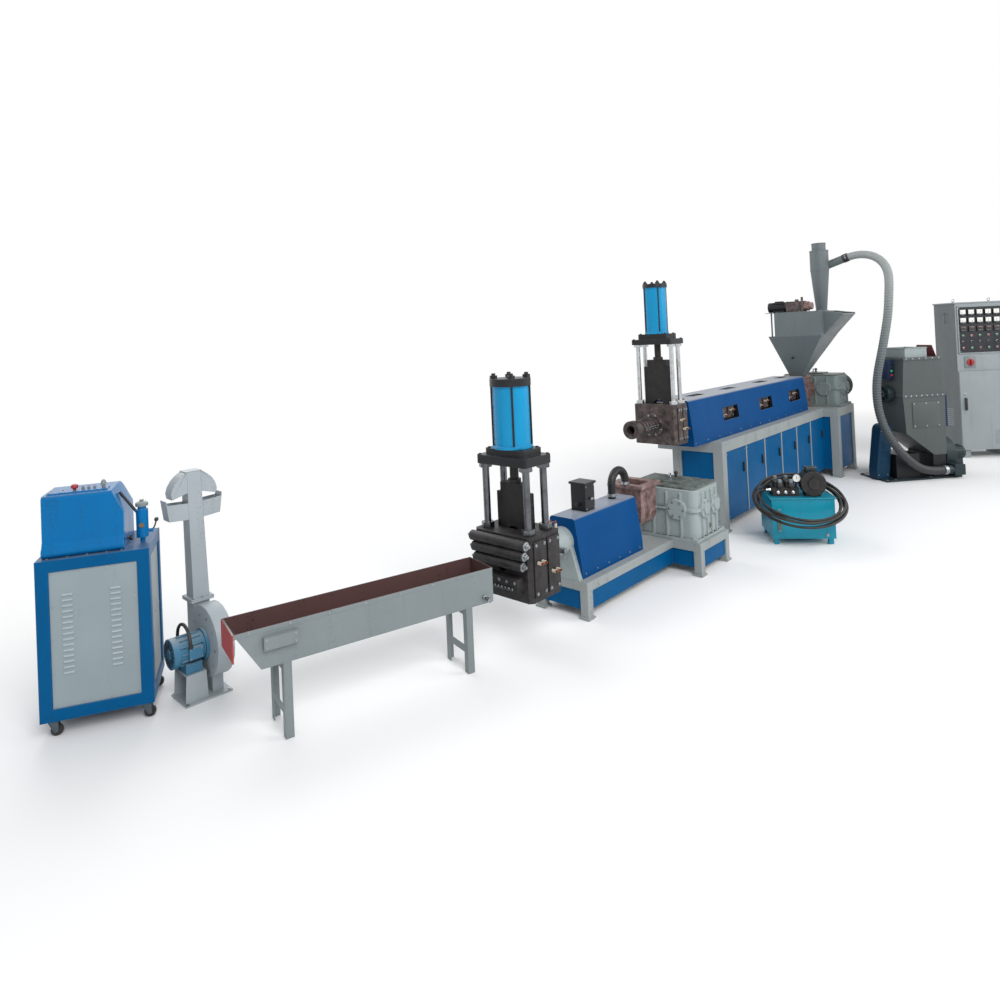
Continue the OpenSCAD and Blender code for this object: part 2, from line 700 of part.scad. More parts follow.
rim = 22;
module water_trough() {
    t = trough_t;
    outer = [[-trough_len, trough_h], [-trough_len + trough_slope, 0], [0, 0], [0, trough_h]];
    inner = [
        [-trough_len + t, trough_h + pad], [-trough_len + trough_slope + t, t], [-t, t], [-t, trough_h + pad]
    ];
    color("darkgray") at_trough() translate([0, 0, trough_z]) {
        difference() {
            union() {
                slab_y(outer, [-trough_w / 2, trough_w / 2]);
                span([-trough_len, -trough_w / 2 - 2, trough_h - rim], [0, trough_w / 2 + 2, trough_h]);
            }
            slab_y(inner, [-trough_w / 2 + t, trough_w / 2 - t]);
        }
        // Overflow box on the front and lip plate at the sloped end
        span([-trough_len + 130, -trough_w / 2 - 28, 90], [-trough_len + 290, -trough_w / 2 + pad, 148]);
        span([-trough_len - 5, -trough_w / 2, trough_h - 130], [-trough_len + pad, trough_w / 2, trough_h]);
    }
}
module trough_legs() {
    angle = 40;
    brace_z = 110;
    feet_x = [-trough_len + trough_slope + 100, -180];
    half = trough_w / 2;
    color("gray") at_trough() for (x = feet_x) {
        for (side = [-1, 1]) {
            span([x, side > 0 ? half - 4 : -half, 0], [x + angle, side > 0 ? half : -half + 4, trough_z]);
            span([x, side > 0 ? half - angle : -half, 0], [x + 4, side > 0 ? half : -half + angle, trough_z]);
        }
        span([x, -half, brace_z], [x + 4, half, brace_z + angle]);
        span([x, -half, trough_z - angle], [x + 4, half, trough_z]);
    }
}

// Blower and outlet head

volute_r = 165;
volute_growth = 45;
fan_x = [60, 60 + volute_w];
outlet_y = [115, volute_r + volute_growth];
outlet_z = fan_z + 200;
duct_wall = 3;
// Spiral casing that grows towards its outlet
function volute_points(r, growth) =
    [for (a = [0 : 15 : 360]) let (s = r + growth * (1 - a / 360)) [s * cos(a), s * sin(a)]];
// A fan casing in the plane across X, with an upright outlet on its +Y side
module volute(r, growth, x, outlet, top) {
    slab_x(volute_points(r, growth), x);
    span([x[0], outlet[0], 0], [x[1], outlet[1], top]);
}
stand_top = fan_z - 110;
module blower_base() {
    color("gray") at_blower() {
        span([-84, -105, 0], [165, 95, 8]);
        for (y = [-80, 74]) slab_y([[-74, 8], [45, 8], [38, stand_top], [-66, stand_top]], [y, y + 6]);
        span([-66, -80, stand_top - 6], [38, 80, stand_top]);
        slab_y([[39, 8], [45, 8], [38, stand_top], [32, stand_top]], [-80, 80]);
    }
}
module blower_volute() {
    color("darkgray") at_blower() translate([0, 0, fan_z]) {
        volute(volute_r, volute_growth, fan_x, outlet_y, outlet_z - fan_z - 10);
        span([fan_x[0] - 18, outlet_y[0] - 18, outlet_z - fan_z - 10],
            [fan_x[1] + 18, outlet_y[1] + 18, outlet_z - fan_z]);
        bar_x(170, [fan_x[1] - pad, 0, 0], fan_x[1] + 14);
    }
    color("darkgray") at_blower() span([fan_x[0] + 15, -60, 8], [fan_x[1] - 15, 60, fan_z - volute_r + 8]);
}
motor_d = 140;
module blower_motor() {
    color("steelblue") at_blower() {
        bar_x(motor_d, [-95, 0, fan_z], fan_x[0]);
        bar_x(motor_d + 16, [-120, 0, fan_z], -90);
        bar_x(motor_d + 30, [fan_x[0] - 16, 0, fan_z], fan_x[0]);
        for (k = [0 : 11]) translate([-80, 0, fan_z]) rotate([30 * k, 0, 0])
            span([0, -3, motor_d / 2 - pad], [110, 3, motor_d / 2 + 8]);
        span([-60, -66, stand_top], [25, 66, fan_z - motor_d / 2 + 12]);
        span([-50, -96, fan_z - 30], [20, -motor_d / 2 + 8, fan_z + 30]);
    }
}
duct_foot = [[fan_x[0], outlet_y[0]], [fan_x[1], outlet_y[1]]];
duct_head = [[fan_x[0] - 10, outlet_y[0]], [fan_x[1] - 24, outlet_y[1] - 12]];
// Two crossed profiles from foot to head, with t taken off every side
module duct_form(t, extra) {
    z = [outlet_z - extra, duct_top + extra];
    foot = duct_foot;
    head = duct_head;
    intersection() {
        slab_y([[foot[0][0] + t, z[0]], [foot[1][0] - t, z[0]],
            [head[1][0] - t, z[1]], [head[0][0] + t, z[1]]],
            [foot[0][1] - 50, foot[1][1] + 50]);
        slab_x([[foot[0][1] + t, z[0]], [foot[1][1] - t, z[0]],
            [head[1][1] - t, z[1]], [head[0][1] + t, z[1]]],
            [head[0][0] - 50, foot[1][0] + 50]);
    }
}
module blower_duct() {
    out = 18;
    flange = 10;
    color("darkgray") at_blower() {
        difference() {
            duct_form(0, 0);
            duct_form(duct_wall, pad);
        }
        difference() {
            span([fan_x[0] - out, outlet_y[0] - out, outlet_z],
                [fan_x[1] + out, outlet_y[1] + out, outlet_z + flange]);
            span([fan_x[0] + pad, outlet_y[0] + pad, outlet_z - pad],
                [fan_x[1] - pad, outlet_y[1] - pad, outlet_z + flange + pad]);
        }
    }
}
// Outlet head: a cap over the duct with a curved hood on each side, and an open wing chute below each
hood_z = duct_top - 138;
wing_z = duct_top - 262;
head_mid = (duct_head[0][0] + duct_head[1][0]) / 2;
head_y = duct_head[0][1];
head_deep = [head_y, duct_head[1][1]];
head_sheet = 4;
module outlet_side() {
    hood = [[20, 30], [121, 0], [127, 30], [118, 62], [100, 92], [76, 116], [56, 130], [40, 138], [20, 138]];
    room = [
        [20, -pad], [116, -pad], [122.5, 30], [114, 60], [97, 89],
        [73, 112], [54, 126], [39, 133.5], [20, 133.5]
    ];
    chute = [[20, 0], [140, 10], [155, 122], [151, 122], [136.4, 14], [20, 4]];
    cheek = [[20, 0], [140, 10], [152, 100], [20, 92]];
    translate([0, 0, hood_z]) difference() {
        slab_y(hood, head_deep);
        slab_y(room, [head_deep[0] + head_sheet, head_deep[1] - head_sheet]);
    }
    translate([0, 0, wing_z]) {
        slab_y(chute, head_deep);
        for (y = [head_deep[0], head_deep[1] - head_sheet]) slab_y(cheek, [y, y + head_sheet]);
    }
}
module pellet_outlet_head() {
    color("darkgray") at_blower() {
        difference() {
            translate([head_mid, 0, 0]) for (side = [0, 1]) mirror([side, 0, 0]) outlet_side();
            duct_form(-seat, pad);
        }
        lid_z = duct_top + seat;
        span([head_mid - 45, head_deep[0], lid_z], [head_mid + 45, head_deep[1], lid_z + head_sheet]);
        for (x = [head_mid - 45, head_mid + 41])
            span([x, head_deep[0], lid_z - 2], [x + head_sheet, head_deep[1], lid_z + 2]);
    }
}

// Pelletizer on its casters

caster_z = 85;
module pelletizer_frame() {
    t = pell_tube;
    color("royalblue") at_pelletizer() {
        for (x = [0, pell_w - t], y = [0, pell_d - t])
            translate([x, y, caster_z]) cube([t, t, pell_h - caster_z]);
        for (z = [caster_z, pell_h - t], y = [0, pell_d - t]) translate([0, y, z]) cube([pell_w, t, t]);
        for (z = [caster_z, pell_h - t], x = [0, pell_w - t]) translate([x, 0, z]) cube([t, pell_d, t]);
        translate([0, 0, pell_h - 4]) cube([pell_w, pell_d, 4]);
    }
}
// Side panels set into the frame, the front one with two columns of pressed louvres
panel_set = 8;
louvre_size = [46, 13];
louvre_out = 6;
module pelletizer_panels() {
    t = pell_tube;
    z = [caster_z + t, pell_h - t];
    pitch = 27;
    first = (z[0] + z[1] - louvres * pitch) / 2 + 30;
    louvre = [[pad, 0], [-louvre_out, 3], [-louvre_out, 5], [pad, louvre_size[1]]];
    color("lightsteelblue") at_pelletizer() {
        span([t, panel_set, z[0]], [pell_w - t, panel_set + 3, z[1]]);
        span([t, pell_d - panel_set - 3, z[0]], [pell_w - t, pell_d - panel_set, z[1]]);
        span([panel_set, t, z[0]], [panel_set + 3, pell_d - t, z[1]]);
        span([pell_w - panel_set - 3, t, z[0]], [pell_w - panel_set, pell_d - t, z[1]]);
        for (x = [pell_w * 0.22, pell_w * 0.64], k = [0 : louvres - 1])
            translate([x, panel_set, first + k * pitch])
                slab_x(louvre, [0, louvre_size[0]]);
    }
}
hood_x = 24;
slant = 54;
slant_z = hood_h * 0.62;
// Cutter hood: rounded section with a rolled lower lip, cut by a slanted right end
module pelletizer_hood() {
    y = [50, pell_d - 70];
    end_x = hood_x + hood_len;
    top = pell_h + hood_h;
    section = concat(
        arc([y[0], pell_h + 28], 28, [270, 120], 6), [[y[0], pell_h + 80]],
        arc([y[0] + 26, top - 22], 22, [180, 90], 5), arc([y[1] - 40, top - 40], 40, [90, 0], 5),
        [[y[1], pell_h]]
    );
    outline = [
        [hood_x, pell_h - pad], [end_x, pell_h - pad], [end_x, pell_h + slant_z],
        [end_x - slant, top], [end_x - slant, top + pad], [hood_x, top + pad]
    ];
    color("dodgerblue") at_pelletizer() {
        intersection() {
            slab_x(section, [hood_x, end_x]);
            slab_y(outline, [0, pell_d]);
        }
        span([hood_x + 20, y[0] + 30, top - pad], [end_x - slant - 20, y[0] + 110, top + 8]);
    }
}
// Oil cup beside the hood, on a stem, with its lever and the stay to the hood
module pelletizer_oil_cup() {
    at = [pell_w - 46, 150];
    stay_d = 14;
    stay_z = hood_h - 30;
    stay_x = hood_x + hood_len - slant * (stay_z - slant_z) / (hood_h - slant_z) + stay_d * 0.6;
    color("dodgerblue") at_pelletizer() {
        bar_z(24, [at[0], at[1], pell_h], pell_h + 30);
        bar_z(58, [at[0], at[1], pell_h + 25], pell_h + 170);
        bar_z(40, [at[0], at[1], pell_h + 169], pell_h + 190);
        bar_x(18, [at[0] + 20, at[1], pell_h + 55], at[0] + 52);
        bar(stay_d, [at[0] - 20, at[1], pell_h + 150], [stay_x, at[1], pell_h + stay_z]);
    }
}

caster_in = 45;
caster_at = [
    [caster_in, caster_in], [pell_w - caster_in, caster_in],
    [caster_in, pell_d - caster_in], [pell_w - caster_in, pell_d - caster_in]
];
wheel_t = 20;
wheel_gap = 6;
fork_t = 3;
caster_trail = 18;
axle_d = 8;
axle_play = 0.1;
module caster_fork(i) {
    side = wheel_t / 2 + wheel_gap;
    axle_z = wheel_d / 2;
    cheek = [
        [caster_trail - 9, axle_z - 8], [caster_trail + 9, axle_z - 8],
        [caster_trail + 11, caster_z - 14], [-16, caster_z - 14]
    ];
    color("darkgray") at_pelletizer() translate([caster_at[i][0], caster_at[i][1], 0]) {
        bar_z(44, [0, 0, caster_z - 14], caster_z - seat);
        span([-16, -side - fork_t, caster_z - 18], [caster_trail + 11, side + fork_t, caster_z - 13]);
        for (y = [-side - fork_t, side])
            slab_y(cheek, [y, y + fork_t]);
        bar_y(axle_d, [caster_trail, -side - fork_t - 3, axle_z], side + fork_t + 3);
    }
}
module caster_wheel(i) {
    r = wheel_d / 2;
    bore = axle_d / 2 + axle_play / 2;
    half = wheel_t / 2;
    hub = r * 0.4;
    side = [[bore, half], [hub, half], [hub, half - 2], [r * 0.7, half - 2], [r - 3, half], [r, half - 4]];
    tread = concat(side, [for (k = [len(side) - 1 : -1 : 0]) [side[k][0], -side[k][1]]]);
    at = [caster_at[i][0] + caster_trail, caster_at[i][1], r];
    color("black") at_pelletizer() translate(at) rotate([90, 0, 0]) rotate_extrude() polygon(tread);
}

// Hydraulic unit

tank_size = [500, 400, 330];
tank_z = 50;
tank_top = tank_z + tank_size[2] + 10;
coil_r = 334;
coil_bundle = 70;
coil_tilt = 22.7;
coil_at = [236, 52, 367];
coil_rest_y = coil_at[1] + coil_r * cos(coil_tilt);
coil_rest_z = coil_at[2] + coil_r * sin(coil_tilt) - coil_bundle / 2 - seat;
pump_motor_d = 186;
module hydraulic_tank() {
    color("teal") at_hydraulic() {
        translate([0, 0, tank_z]) cube(tank_size);
        span([-15, -15, tank_top - 10], [tank_size[0] + 15, tank_size[1] + 15, tank_top]);
        for (x = [15, tank_size[0] - 55], y = [15, tank_size[1] - 55])
            translate([x, y, 0]) cube([40, 40, tank_z]);
        span([40, -8, tank_z + 60], [75, pad, tank_z + 250]);
    }
}
module hydraulic_pump_set() {
    motor = [350, tank_top + pump_motor_d / 2 + 16];
    color("dimgray") at_hydraulic() {
        bar_y(pump_motor_d, [motor[0], 35, motor[1]], 170);
        bar_y(pump_motor_d + 14, [motor[0], 20, motor[1]], 50);
        bar_y(pump_motor_d * 0.5, [motor[0], 8, motor[1]], 30);
        span([motor[0] - 60, 40, tank_top], [motor[0] + 60, 150, motor[1] - pump_motor_d / 2 + 12]);
        // Valve block with two stacked valves, a gauge and the hose post
        span([30, 60, tank_top], [240, 200, tank_top + 70]);
        for (x = [50, 140]) span([x, 75, tank_top + 70], [x + 70, 185, tank_top + 120]);
        bar_y(46, [85, 52, tank_top + 95], 76);
        bar_z(16, [225, 80, tank_top + 69], tank_top + 130);
        bar_y(64, [225, 62, tank_top + 150], 92);
        bar_z(40, [coil_at[0], coil_rest_y, tank_top], coil_rest_z);
    }
}
module hydraulic_hose() {
    color("black") at_hydraulic() translate(coil_at) rotate([coil_tilt, 0, 0])
        rotate_extrude() translate([coil_r, 0]) circle(d = coil_bundle);
}

// Crusher with its conveying fan

base_t = 20;
chamber_z = 270;
body_half = crusher_d / 2;
body_left = -260;
waist_z = crusher_h - 430;
band_out = 6;
fan_at = 240;
fan_r = 185;
fan_growth = 30;
// The guard box reaches from the waist down to a clearance above the fan
guard_clear = 105;
guard_z = [fan_at + fan_r + fan_growth + guard_clear, waist_z - 10];
bracket_z = (guard_z[0] + guard_z[1]) / 2 + 25;
module crusher_base() {
    color("darkslategray") at_crusher() {
        span([-520, -230, 0], [420, 230, base_t]);
        // Motor box on the left and the outlet leg on the right
        span([-350, -170, base_t - pad], [-60, 170, 290]);
        span([90, -body_half + 10, base_t - pad], [250, body_half - 10, chamber_z]);
    }
}
module crusher_body() {
    outline = [
        [100, chamber_z], [255, chamber_z], [268, waist_z], [235, crusher_h],
        [-228, crusher_h], [body_left, waist_z], [-235, waist_z - 430]
    ];
    color("darkgray") at_crusher() {
        slab_y(outline, [-body_half, body_half]);
        span([-238, -body_half - 12, crusher_h - 30], [245, body_half + 12, crusher_h]);
        span([body_left - band_out, -body_half - 10, waist_z - 20], [276, body_half + 10, waist_z + 5]);
        // Control box on the left, guard box and its bracket on the right
        span([-320, -60, crusher_h - 250], [-226, 80, crusher_h - 20]);
        span([262, -40, bracket_z - 20], [310, 40, bracket_z + 20]);
        span([310, -70, guard_z[0]], [410, 70, guard_z[1]]);
    }
}
module crusher_hopper() {
    wall = 5;
    x = [-180, 95];
    half = 175;
    flap_x = [210, 216];
    flap_top = crusher_h + 130;
    color("lightgray") at_crusher() {
        difference() {
            span([x[0], -half, crusher_h], [x[1], half, crusher_h + 110]);
            span([x[0] + wall, -half + wall, crusher_h + wall], [x[1] - wall, half - wall, crusher_h + 111]);
        }
        slab_x([[-half, crusher_h], [half, crusher_h], [half - 60, flap_top], [60 - half, flap_top]], flap_x);
    }
}
// Slanted guard over the belt, rounded at its upper pulley
module crusher_belt_guard() {
    low = [-475, 130];
    high = [-415, waist_z - 400];
    r = 75;
    lean = atan2(high[0] - low[0], high[1] - low[1]);
    foot = [[low[0] - r, low[1]], [low[0] - r, base_t], [low[0] + r, base_t]];
    outline = concat(arc(high, r, [-lean, 180 - lean], 10), foot);
    color("royalblue") at_crusher() slab_y(outline, [-110, 30]);
}
module crusher_flywheel() {
    z = waist_z + 10;
    x = body_left - band_out - seat;
    color("darkslategray") at_crusher() {
        difference() {
            bar_x(flywheel_d, [x - 80, 0, z], x - 12);
            bar_x(flywheel_d - 50, [x - 81, 0, z], x - 60);
        }
        bar_x(70, [x - 90, 0, z], x);
    }
}
spout = [180.5, -255, 100];
module conveying_fan() {
    x = [270, 400];
    color("darkslategray") at_crusher() {
        translate([0, 0, fan_at]) slab_x(volute_points(fan_r, fan_growth), x);
        span([x[0], -305, 40], [x[1], -90, 160]);
        bar_x(hose_d, spout, x[0] + pad);
        bar_x(150, [x[1] - pad, 0, fan_at], x[1] + 220);
        bar_x(170, [x[1] + 40, 0, fan_at], x[1] + 200);
        span([x[1] + 60, -70, 0], [x[1] + 180, 70, fan_at - 60]);
        span([x[0], -70, base_t], [x[1], 70, fan_at - 120]);
    }
}
// Route of the conveying hose, from the cyclone's inlet to the fan's spout
hose_start = [main_x + cyclone_at[0], main_y + cyclone_at[1], hopper_top + lid_t]
    + inlet_b + seat * inlet_dir;
hose_end = [
    crusher_at[0] + (spout[0] - seat) * cos(crusher_yaw) - spout[1] * sin(crusher_yaw),
    crusher_at[1] + (spout[0] - seat) * sin(crusher_yaw) + spout[1] * cos(crusher_yaw), spout[2]
];
hose_lead = 60 * inlet_dir;
hose_tail = 90 * [-cos(crusher_yaw), -sin(crusher_yaw), 0];
hose_route = [
    hose_start, hose_start + hose_lead, [5308, -330, 2630], [5272, -400, 2612], [5222, -475, 2560],
    [5165, -550, 2475], [5112, -615, 2375], [5078, -662, 2255], [5058, -694, 2115], [5048, -700, 1950],
    [5030, -680, 1780],
    [5010, -640, 1600], [4990, -590, 1400], [4980, -560, 1180], [4970, -555, 960], [4980, -590, 740],
    [5010, -660, 540], [5050, -735, 380], [5110, -800, 270], [5190, -855, 190], [5290, -910, 135],
    [5375, -950, 105], hose_end + hose_tail, hose_end
];
function unit(v) = v / norm(v);
function route_dir(p, i) = unit(p[min(i + 1, len(p) - 1)] - p[max(i - 1, 0)]);
function hose_ring(p, i, d, n) =
    let (t = route_dir(p, i), a = unit(cross(t, [0.9, 0.43, 0.05])), b = cross(t, a))
    [for (k = [0 : n - 1]) p[i] + d / 2 * (a * cos(360 * k / n) + b * sin(360 * k / n))];
module sweep(p, d, n) {
    rings = len(p);
    points = [for (i = [0 : rings - 1]) each hose_ring(p, i, d, n)];
    sides = [for (i = [0 : rings - 2], k = [0 : n - 1])
        [i * n + k, i * n + (k + 1) % n, (i + 1) * n + (k + 1) % n, (i + 1) * n + k]];
    ends = [[for (k = [n - 1 : -1 : 0]) k], [for (k = [0 : n - 1]) (rings - 1) * n + k]];
    polyhedron(points, concat(sides, ends));
}
module conveying_hose() { color("silver") sweep(hose_route, hose_d, 10); }

// Control cabinet

plinth = 100;
sheet = 20;
door_gap = 5;
hinge_z = [250, 950];
hinge_d = 10;
hinge_play = 0.1;
knuckle = [18, 30];
hinge_at = [cabinet_w + 10, -door_gap - sheet / 2];
module cabinet_body() {
    color("lightgray") at_cabinet() {
        for (x = [20, cabinet_w - 120]) span([x, 15, 0], [x + 100, cabinet_d - 15, plinth]);
        difference() {
            span([0, 0, plinth], [cabinet_w, cabinet_d, cabinet_h]);
            span([sheet, -pad, plinth + sheet], [cabinet_w - sheet, cabinet_d - sheet, door_top - sheet]);
            // Hand slot in the left side
            span([-pad, 150, cabinet_h - 260], [12, 250, cabinet_h - 120]);
        }
        span([-12, -12, cabinet_h], [cabinet_w + 12, cabinet_d + 12, cabinet_h + 16]);
        for (z = hinge_z) {
            span([cabinet_w - pad, hinge_at[1], z], [hinge_at[0], 30, z + knuckle[1]]);
            bar_z(knuckle[0], [hinge_at[0], hinge_at[1], z], z + knuckle[1]);
            bar_z(hinge_d, [hinge_at[0], hinge_at[1], z], z + 2 * knuckle[1]);
        }
    }
}
module cabinet_door() {
    color("lightgray") at_cabinet() difference() {
        union() {
            span([door_gap, -sheet - door_gap, plinth + door_gap],
                [cabinet_w - door_gap, -door_gap, door_top]);
            for (z = hinge_z) translate([0, 0, z + knuckle[1] + seat]) {
                span([cabinet_w - door_gap - pad, hinge_at[1] - 5, 0],
                    [hinge_at[0], hinge_at[1] + 5, knuckle[1]]);
                bar_z(knuckle[0], [hinge_at[0], hinge_at[1], 0], knuckle[1]);
            }
        }
        for (z = hinge_z)
            bar_z(hinge_d + hinge_play, [hinge_at[0], hinge_at[1], z], z + 3 * knuckle[1]);
    }
}
// Upper front: a frame and the sunk black panel for the instruments
module cabinet_instrument_panel() {
    z = [door_top + 10, cabinet_h - 20];
    side = 35;
    rail = 30;
    color("black") at_cabinet() {
        span([side, -8, z[1] - 620], [cabinet_w - side, 0, z[1] - rail]);
    }
}
pelletizer_frame();
pelletizer_panels();
pelletizer_hood();
pelletizer_oil_cup();
caster_fork(0);  // caster_fork_1
caster_fork(1);  // caster_fork_2
caster_fork(2);  // caster_fork_3
caster_fork(3);  // caster_fork_4
caster_wheel(0);  // caster_wheel_1
caster_wheel(1);  // caster_wheel_2
caster_wheel(2);  // caster_wheel_3
caster_wheel(3);  // caster_wheel_4
blower_base();
blower_volute();
blower_motor();
blower_duct();
pellet_outlet_head();
water_trough();
trough_legs();
second_frame();
second_panels();
second_barrel();
second_barrel_cover();
second_gearbox();
second_feed_throat();
second_terminal_box();
second_die_block();
second_tie_rods();
second_crown_plates();
second_cylinder();
second_screen_slide();
main_frame();
main_panels();
main_barrel();
main_barrel_cover();
main_die_block();
main_tie_rods();
main_crown_plates();
main_cylinder();
main_screen_slide();
main_gearbox();
main_pulley();
main_hopper();
hopper_feeder_drive();
cyclone();
hydraulic_tank();
hydraulic_pump_set();
hydraulic_hose();
crusher_base();
crusher_body();
crusher_hopper();
crusher_belt_guard();
crusher_flywheel();
conveying_fan();
conveying_hose();
cabinet_body();
cabinet_door();
cabinet_instrument_panel();
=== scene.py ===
"""Looks of a two-stage plastic recycling line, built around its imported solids."""
import json
import math
from functools import partial
from itertools import product
import bmesh
import bpy
from mathutils import Matrix, Vector

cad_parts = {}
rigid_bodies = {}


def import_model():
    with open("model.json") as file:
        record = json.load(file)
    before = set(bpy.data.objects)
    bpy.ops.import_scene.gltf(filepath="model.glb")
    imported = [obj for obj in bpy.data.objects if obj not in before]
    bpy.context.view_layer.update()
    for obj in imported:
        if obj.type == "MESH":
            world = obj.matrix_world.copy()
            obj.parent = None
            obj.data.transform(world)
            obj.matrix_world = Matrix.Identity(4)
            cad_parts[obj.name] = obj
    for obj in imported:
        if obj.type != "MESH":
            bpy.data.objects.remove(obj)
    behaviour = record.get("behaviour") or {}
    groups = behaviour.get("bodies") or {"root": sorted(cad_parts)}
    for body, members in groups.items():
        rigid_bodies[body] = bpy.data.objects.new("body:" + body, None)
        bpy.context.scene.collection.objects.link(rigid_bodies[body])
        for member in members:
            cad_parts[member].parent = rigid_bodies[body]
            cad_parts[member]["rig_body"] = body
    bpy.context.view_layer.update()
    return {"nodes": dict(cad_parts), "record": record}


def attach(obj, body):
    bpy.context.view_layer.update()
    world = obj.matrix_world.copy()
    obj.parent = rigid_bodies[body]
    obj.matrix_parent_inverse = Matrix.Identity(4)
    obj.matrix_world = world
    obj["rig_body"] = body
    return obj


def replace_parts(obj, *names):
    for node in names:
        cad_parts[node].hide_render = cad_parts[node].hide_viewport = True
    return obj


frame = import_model()
SLOTS = {s["node"]: s["material_slot"] for s in frame["record"]["subparts"]}
MM = 1000  # millimetres in a metre
LEFT, RIGHT, FRONT, BACK, UP = (-1, 0, 0), (1, 0, 0), (0, -1, 0), (0, 1, 0), (0, 0, 1)

# Stations: where each machine's own corner stands on the floor (m), and how it is turned
STATIONS = {
    "second": (-0.030, 0.180, 0), "main": (2.220, 0.370, 0), "trough": (-0.788, 0.170, -14.5),
    "pelletizer": (-2.724, 1.280, -28), "blower": (-2.055, 1.116, -2), "hydraulic": (2.134, -0.399, -56),
    "crusher": (5.560, -0.760, -40), "cabinet": (6.960, -1.030, -50), "floor": (0, 0, 0),
}


def station(name):
    x, y, yaw = STATIONS[name]
    return Matrix.Translation((x, y, 0)) @ Matrix.Rotation(math.radians(yaw), 4, "Z")


# Material nodes

FACTOR, FIRST, SECOND, MIXED = 0, 6, 7, 2  # a colour mix's inputs, and its output


def linear(hex_colour):
    """An sRGB hex colour as linear RGBA."""
    parts = [int(hex_colour[i:i + 2], 16) / 255 for i in (0, 2, 4)]
    return [p / 12.92 if p <= 0.04045 else ((p + 0.055) / 1.055) ** 2.4 for p in parts] + [1]


def feed(tree, node, inputs):
    """Gives a node's inputs their values, or links them where the value is an output socket."""
    for key, value in inputs.items():
        if isinstance(value, bpy.types.NodeSocket):
            tree.links.new(value, node.inputs[key])
        else:
            node.inputs[key].default_value = value


def put(tree, kind, inputs=None, **settings):
    """Adds a node with its settings and inputs."""
    node = tree.nodes.new("ShaderNode" + kind)
    for key, value in settings.items():
        setattr(node, key, value)
    feed(tree, node, inputs or {})
    return node


def new_material(name):
    """A material with its tree, its shader and the object's own coordinates."""
    material = bpy.data.materials.new(name)
    material.use_nodes = True
    tree = material.node_tree
    return material, tree, tree.nodes["Principled BSDF"], put(tree, "TexCoord").outputs["Object"]


